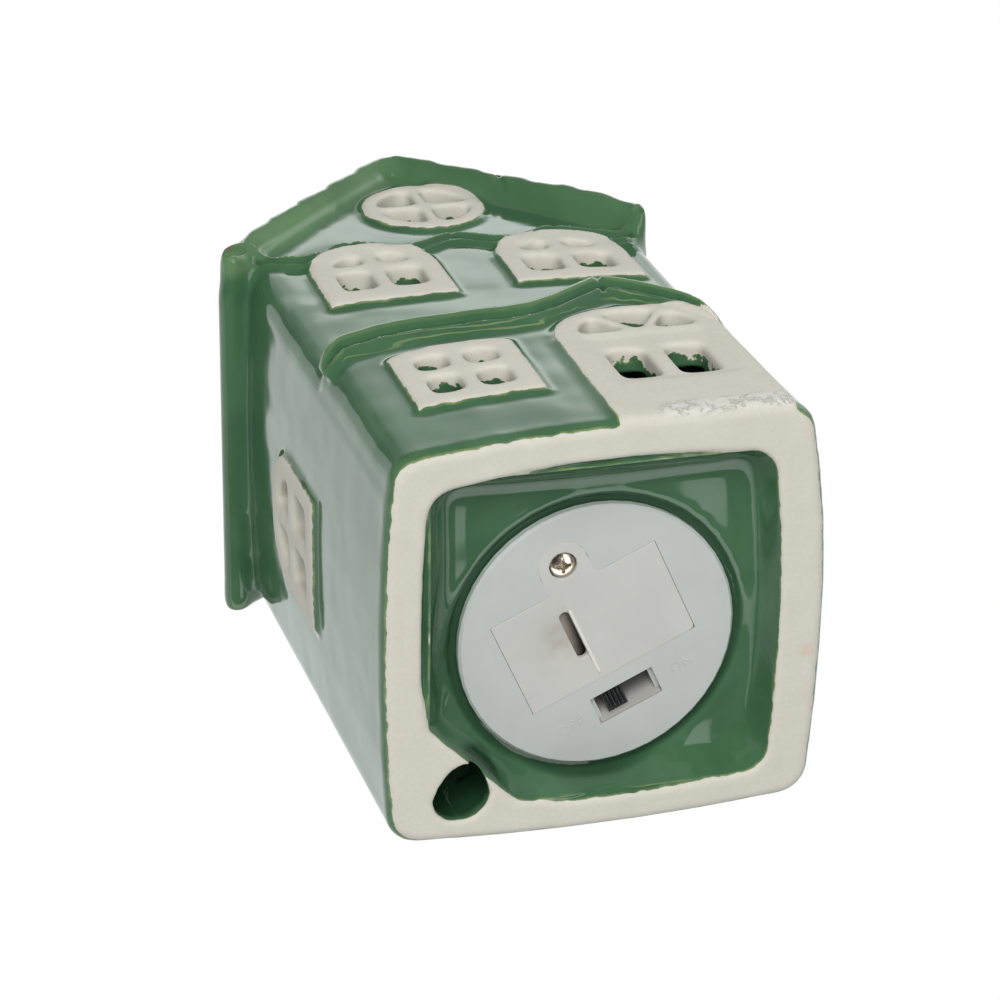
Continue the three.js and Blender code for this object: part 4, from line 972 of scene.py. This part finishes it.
def glaze_colour(tree, place, border):
    """Green that is paler where it is thin, on ridges and at its border, and darker where it pools. A paler
    band along the roof's front edge is a painted highlight, and the darker ring round the LED unit, the
    drain hole and the walls inside are painted shade.
    """
    ridge = attribute(tree, "ridge")
    cloud = noise_at(tree, place, 14, 3, 0.55, 0.6)
    broken = ramp_between(tree, noise_at(tree, place, 5, 2), 0.4, 0.65, 0.15, 0.75)
    on_verge = ramp_between(tree, cloud, 0.3, 0.6, 0.55, 0.9)
    layers = (
        (product(tree, ramp_between(tree, ridge, 0.05, 0.3), 0.45), GLAZE_THIN),
        (product(tree, attribute(tree, "verge_highlight"), on_verge), VERGE_HIGHLIGHT_GREEN),
        (product(tree, ramp_between(tree, ridge, -0.05, -0.3), 0.6), GLAZE_POOL),
        (product(tree, ramp_between(tree, border, -0.4, -0.08), broken), GLAZE_EDGE),
        (drip_lines(tree, place), GLAZE_RUN),
        # Painted shade round the LED unit and in the drain hole.
        (product(tree, attribute(tree, "shade"), 0.6), GLAZE_PAINTED_SHADE),
        (product(tree, attribute(tree, "inside"), 0.85), GLAZE_INSIDE_SHADE),
        (attribute(tree, "chip"), CHIPPED),
    )
    green = mix_colour(tree, ramp_between(tree, cloud, 0.35, 0.65), *GLAZE)
    for share, colour in layers:
        green = mix_colour(tree, share, green, colour)
    return green


def clay_colour(tree, place, rubbed):
    speck = ramp_between(tree, noise_at(tree, place, 0.7, 3), 0.3, 0.75, 0.97, 1.02)
    clay = tinted(tree, mix_colour(tree, noise_at(tree, place, 5, 4), *CLAY), speck)
    clay = mix_colour(tree, product(tree, rubbed, 0.6), clay, CLAY_SANDED)
    return mix_colour(tree, product(tree, attribute(tree, "blush"), 0.22), clay, CLAY_BLUSH)


def glaze_material():
    """Wet green glaze, and bare clay where it ends."""
    material, tree, shader, place = new_material("glazed_ceramic")
    border = glaze_border(tree, place)
    unglazed = ramp_between(tree, border, -0.07, 0.07)
    ragged = ramp_between(tree, noise_at(tree, place, 1.6, 5, 0.7), 0.42, 0.5)
    rubbed = product(tree, attribute(tree, "sanded"), ragged)
    green, clay = glaze_colour(tree, place, border), clay_colour(tree, place, rubbed)
    tree.links.new(mix_colour(tree, unglazed, green, clay), shader.inputs["Base Color"])
    wet = ramp_between(tree, noise_at(tree, place, 6, 3), 0.3, 0.7, 0.05, 0.1)
    rough = ramp_between(tree, unglazed, 0, 1, 0.0, 0.7, smooth=False)
    tree.links.new(math_node(tree, "ADD", wet, rough), shader.inputs["Roughness"])
    skin = product(tree, noise_at(tree, place, 13, 1), 0.5)
    rubs = product(tree, rubbed, 0.22)
    grain = math_node(tree, "MULTIPLY_ADD", noise_at(tree, place, 0.8, 3), 0.04, rubs)
    height = node(tree, "ShaderNodeMix", {0: unglazed, 2: skin, 3: grain}, data_type="FLOAT").outputs[0]
    set_bump(tree, shader, height, 0.5)
    return material


def plastic_material(name, colour, roughness=0.38, grain=0.02, hollow_tint=None):
    material, tree, shader, place = new_material(name)
    shade = ramp_between(tree, noise_at(tree, place, 9, 3), 0.3, 0.7, 0.97, 1.02)
    if hollow_tint:
        # Browner, in patches, where the piece's attribute says.
        grey = node(tree, "ShaderNodeCombineXYZ", {0: shade, 1: shade, 2: shade}).outputs[0]
        hollow_share = product(tree, attribute(tree, "hollow_tint"), noise_at(tree, place, 2, 3))
        shade = mix_colour(tree, hollow_share, grey, hollow_tint)
    tree.links.new(tinted(tree, colour, shade), shader.inputs["Base Color"])
    set_roughness(tree, shader, place, 3, 4, roughness - 0.04, roughness + 0.05)
    set_bump(tree, shader, noise_at(tree, place, 0.25, 2), grain)
    return material


def shaded_material(name, dark, light, roughness):
    """Surface in a well, its colour painted with shade that goes from dark to light with the piece's own
    attribute.
    """
    material, tree, shader, place = new_material(name)
    stir = math_node(tree, "SUBTRACT", noise_at(tree, place, 1.2, 3), 0.5)
    shade = ramp_between(tree, math_node(tree, "MULTIPLY_ADD", stir, 0.12, attribute(tree, "shade")), 0, 1)
    tree.links.new(mix_colour(tree, shade, dark, light), shader.inputs["Base Color"])
    set_roughness(tree, shader, place, 2, 3, roughness - 0.05, roughness + 0.05)
    set_bump(tree, shader, noise_at(tree, place, 0.3, 2), 0.01)
    return material


def metal_material(name, colour, roughness):
    material, tree, shader, place = new_material(name)
    shader.inputs["Metallic"].default_value = 1.0
    tone = mix_colour(tree, noise_at(tree, place, 1.5, 4), tuple(0.85 * c for c in colour), colour)
    tree.links.new(tone, shader.inputs["Base Color"])
    set_roughness(tree, shader, place, 0.8, 4, roughness - 0.08, roughness + 0.1)
    set_bump(tree, shader, noise_at(tree, place, 0.4, 3), 0.01)
    return material


def dress(node_name, material, width=0.0):
    """Gives one of the part's solids its material and, with a width, soft edges."""
    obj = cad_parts[node_name]
    obj.data.materials.clear()
    obj.data.materials.append(material)
    if width:
        bevel = obj.modifiers.new("soft_edges", "BEVEL")
        bevel.width = width * MM
        bevel.segments = 2
        bevel.limit_method = "ANGLE"
        bevel.angle_limit = math.radians(35)
        bevel.harden_normals = True


def dress_inner_pieces(black):
    """Materials of the solids inside the LED unit."""
    steel = metal_material("cell_steel", (0.6, 0.59, 0.56), 0.3)
    brass = metal_material("brass", (0.72, 0.5, 0.3), 0.32)
    dress("switch_shell", steel, 0.05)
    dress("switch_base", plastic_material("switch_board", (0.25, 0.14, 0.05), 0.6), 0.05)
    for number in (1, 2, 3):
        dress(f"switch_pin_{number}", brass)
        dress(f"button_cell_{number}", steel)
    for name in ("contact_positive", "contact_negative"):
        dress(name, steel)
    for name in ("lamp_lead_anode", "lamp_lead_cathode"):
        dress(name, brass)
    dress("lamp_lens", plastic_material("lamp_resin", (0.9, 0.86, 0.7), 0.15, 0.0))
    dress("resistor", plastic_material("resistor_coat", (0.5, 0.37, 0.2), 0.5))
    dress("wire_red", plastic_material("red_insulation", (0.45, 0.015, 0.01), 0.45))
    dress("wire_black", black)


add_camera()
add_world()
add_floor()
add_key_light()
bpy.context.scene.view_settings.view_transform = "Standard"

add_house(glaze_material())
white = plastic_material("white_plastic", (0.545, 0.57, 0.555))
black = plastic_material("black_plastic", (0.016, 0.016, 0.018), 0.34)
dress("unit_housing", white, 0.08)
dress("unit_cap", white, 0.2)
add_hatch(plastic_material("hatch_plastic", HATCH_WHITE, hollow_tint=HATCH_HOLLOW_BROWN))
add_slot_lip(plastic_material("lip_highlight_plastic", LIP_HIGHLIGHT_WHITE))
add_slot_floor(shaded_material("slot_shadow", SLOT_SHADOW_DARK, SLOT_LIT_LIGHT, 0.5))
add_screw(metal_material("nickel_steel", (0.78, 0.68, 0.57), 0.2))
add_switch_well(shaded_material("well_shadow", WELL_SHADOW_DARK, WELL_LIT_LIGHT, 0.45))
add_knob(black)
add_letters("ON", 10, 12.6, white)
add_letters("OFF", -10, 13.2, white)
dress_inner_pieces(black)
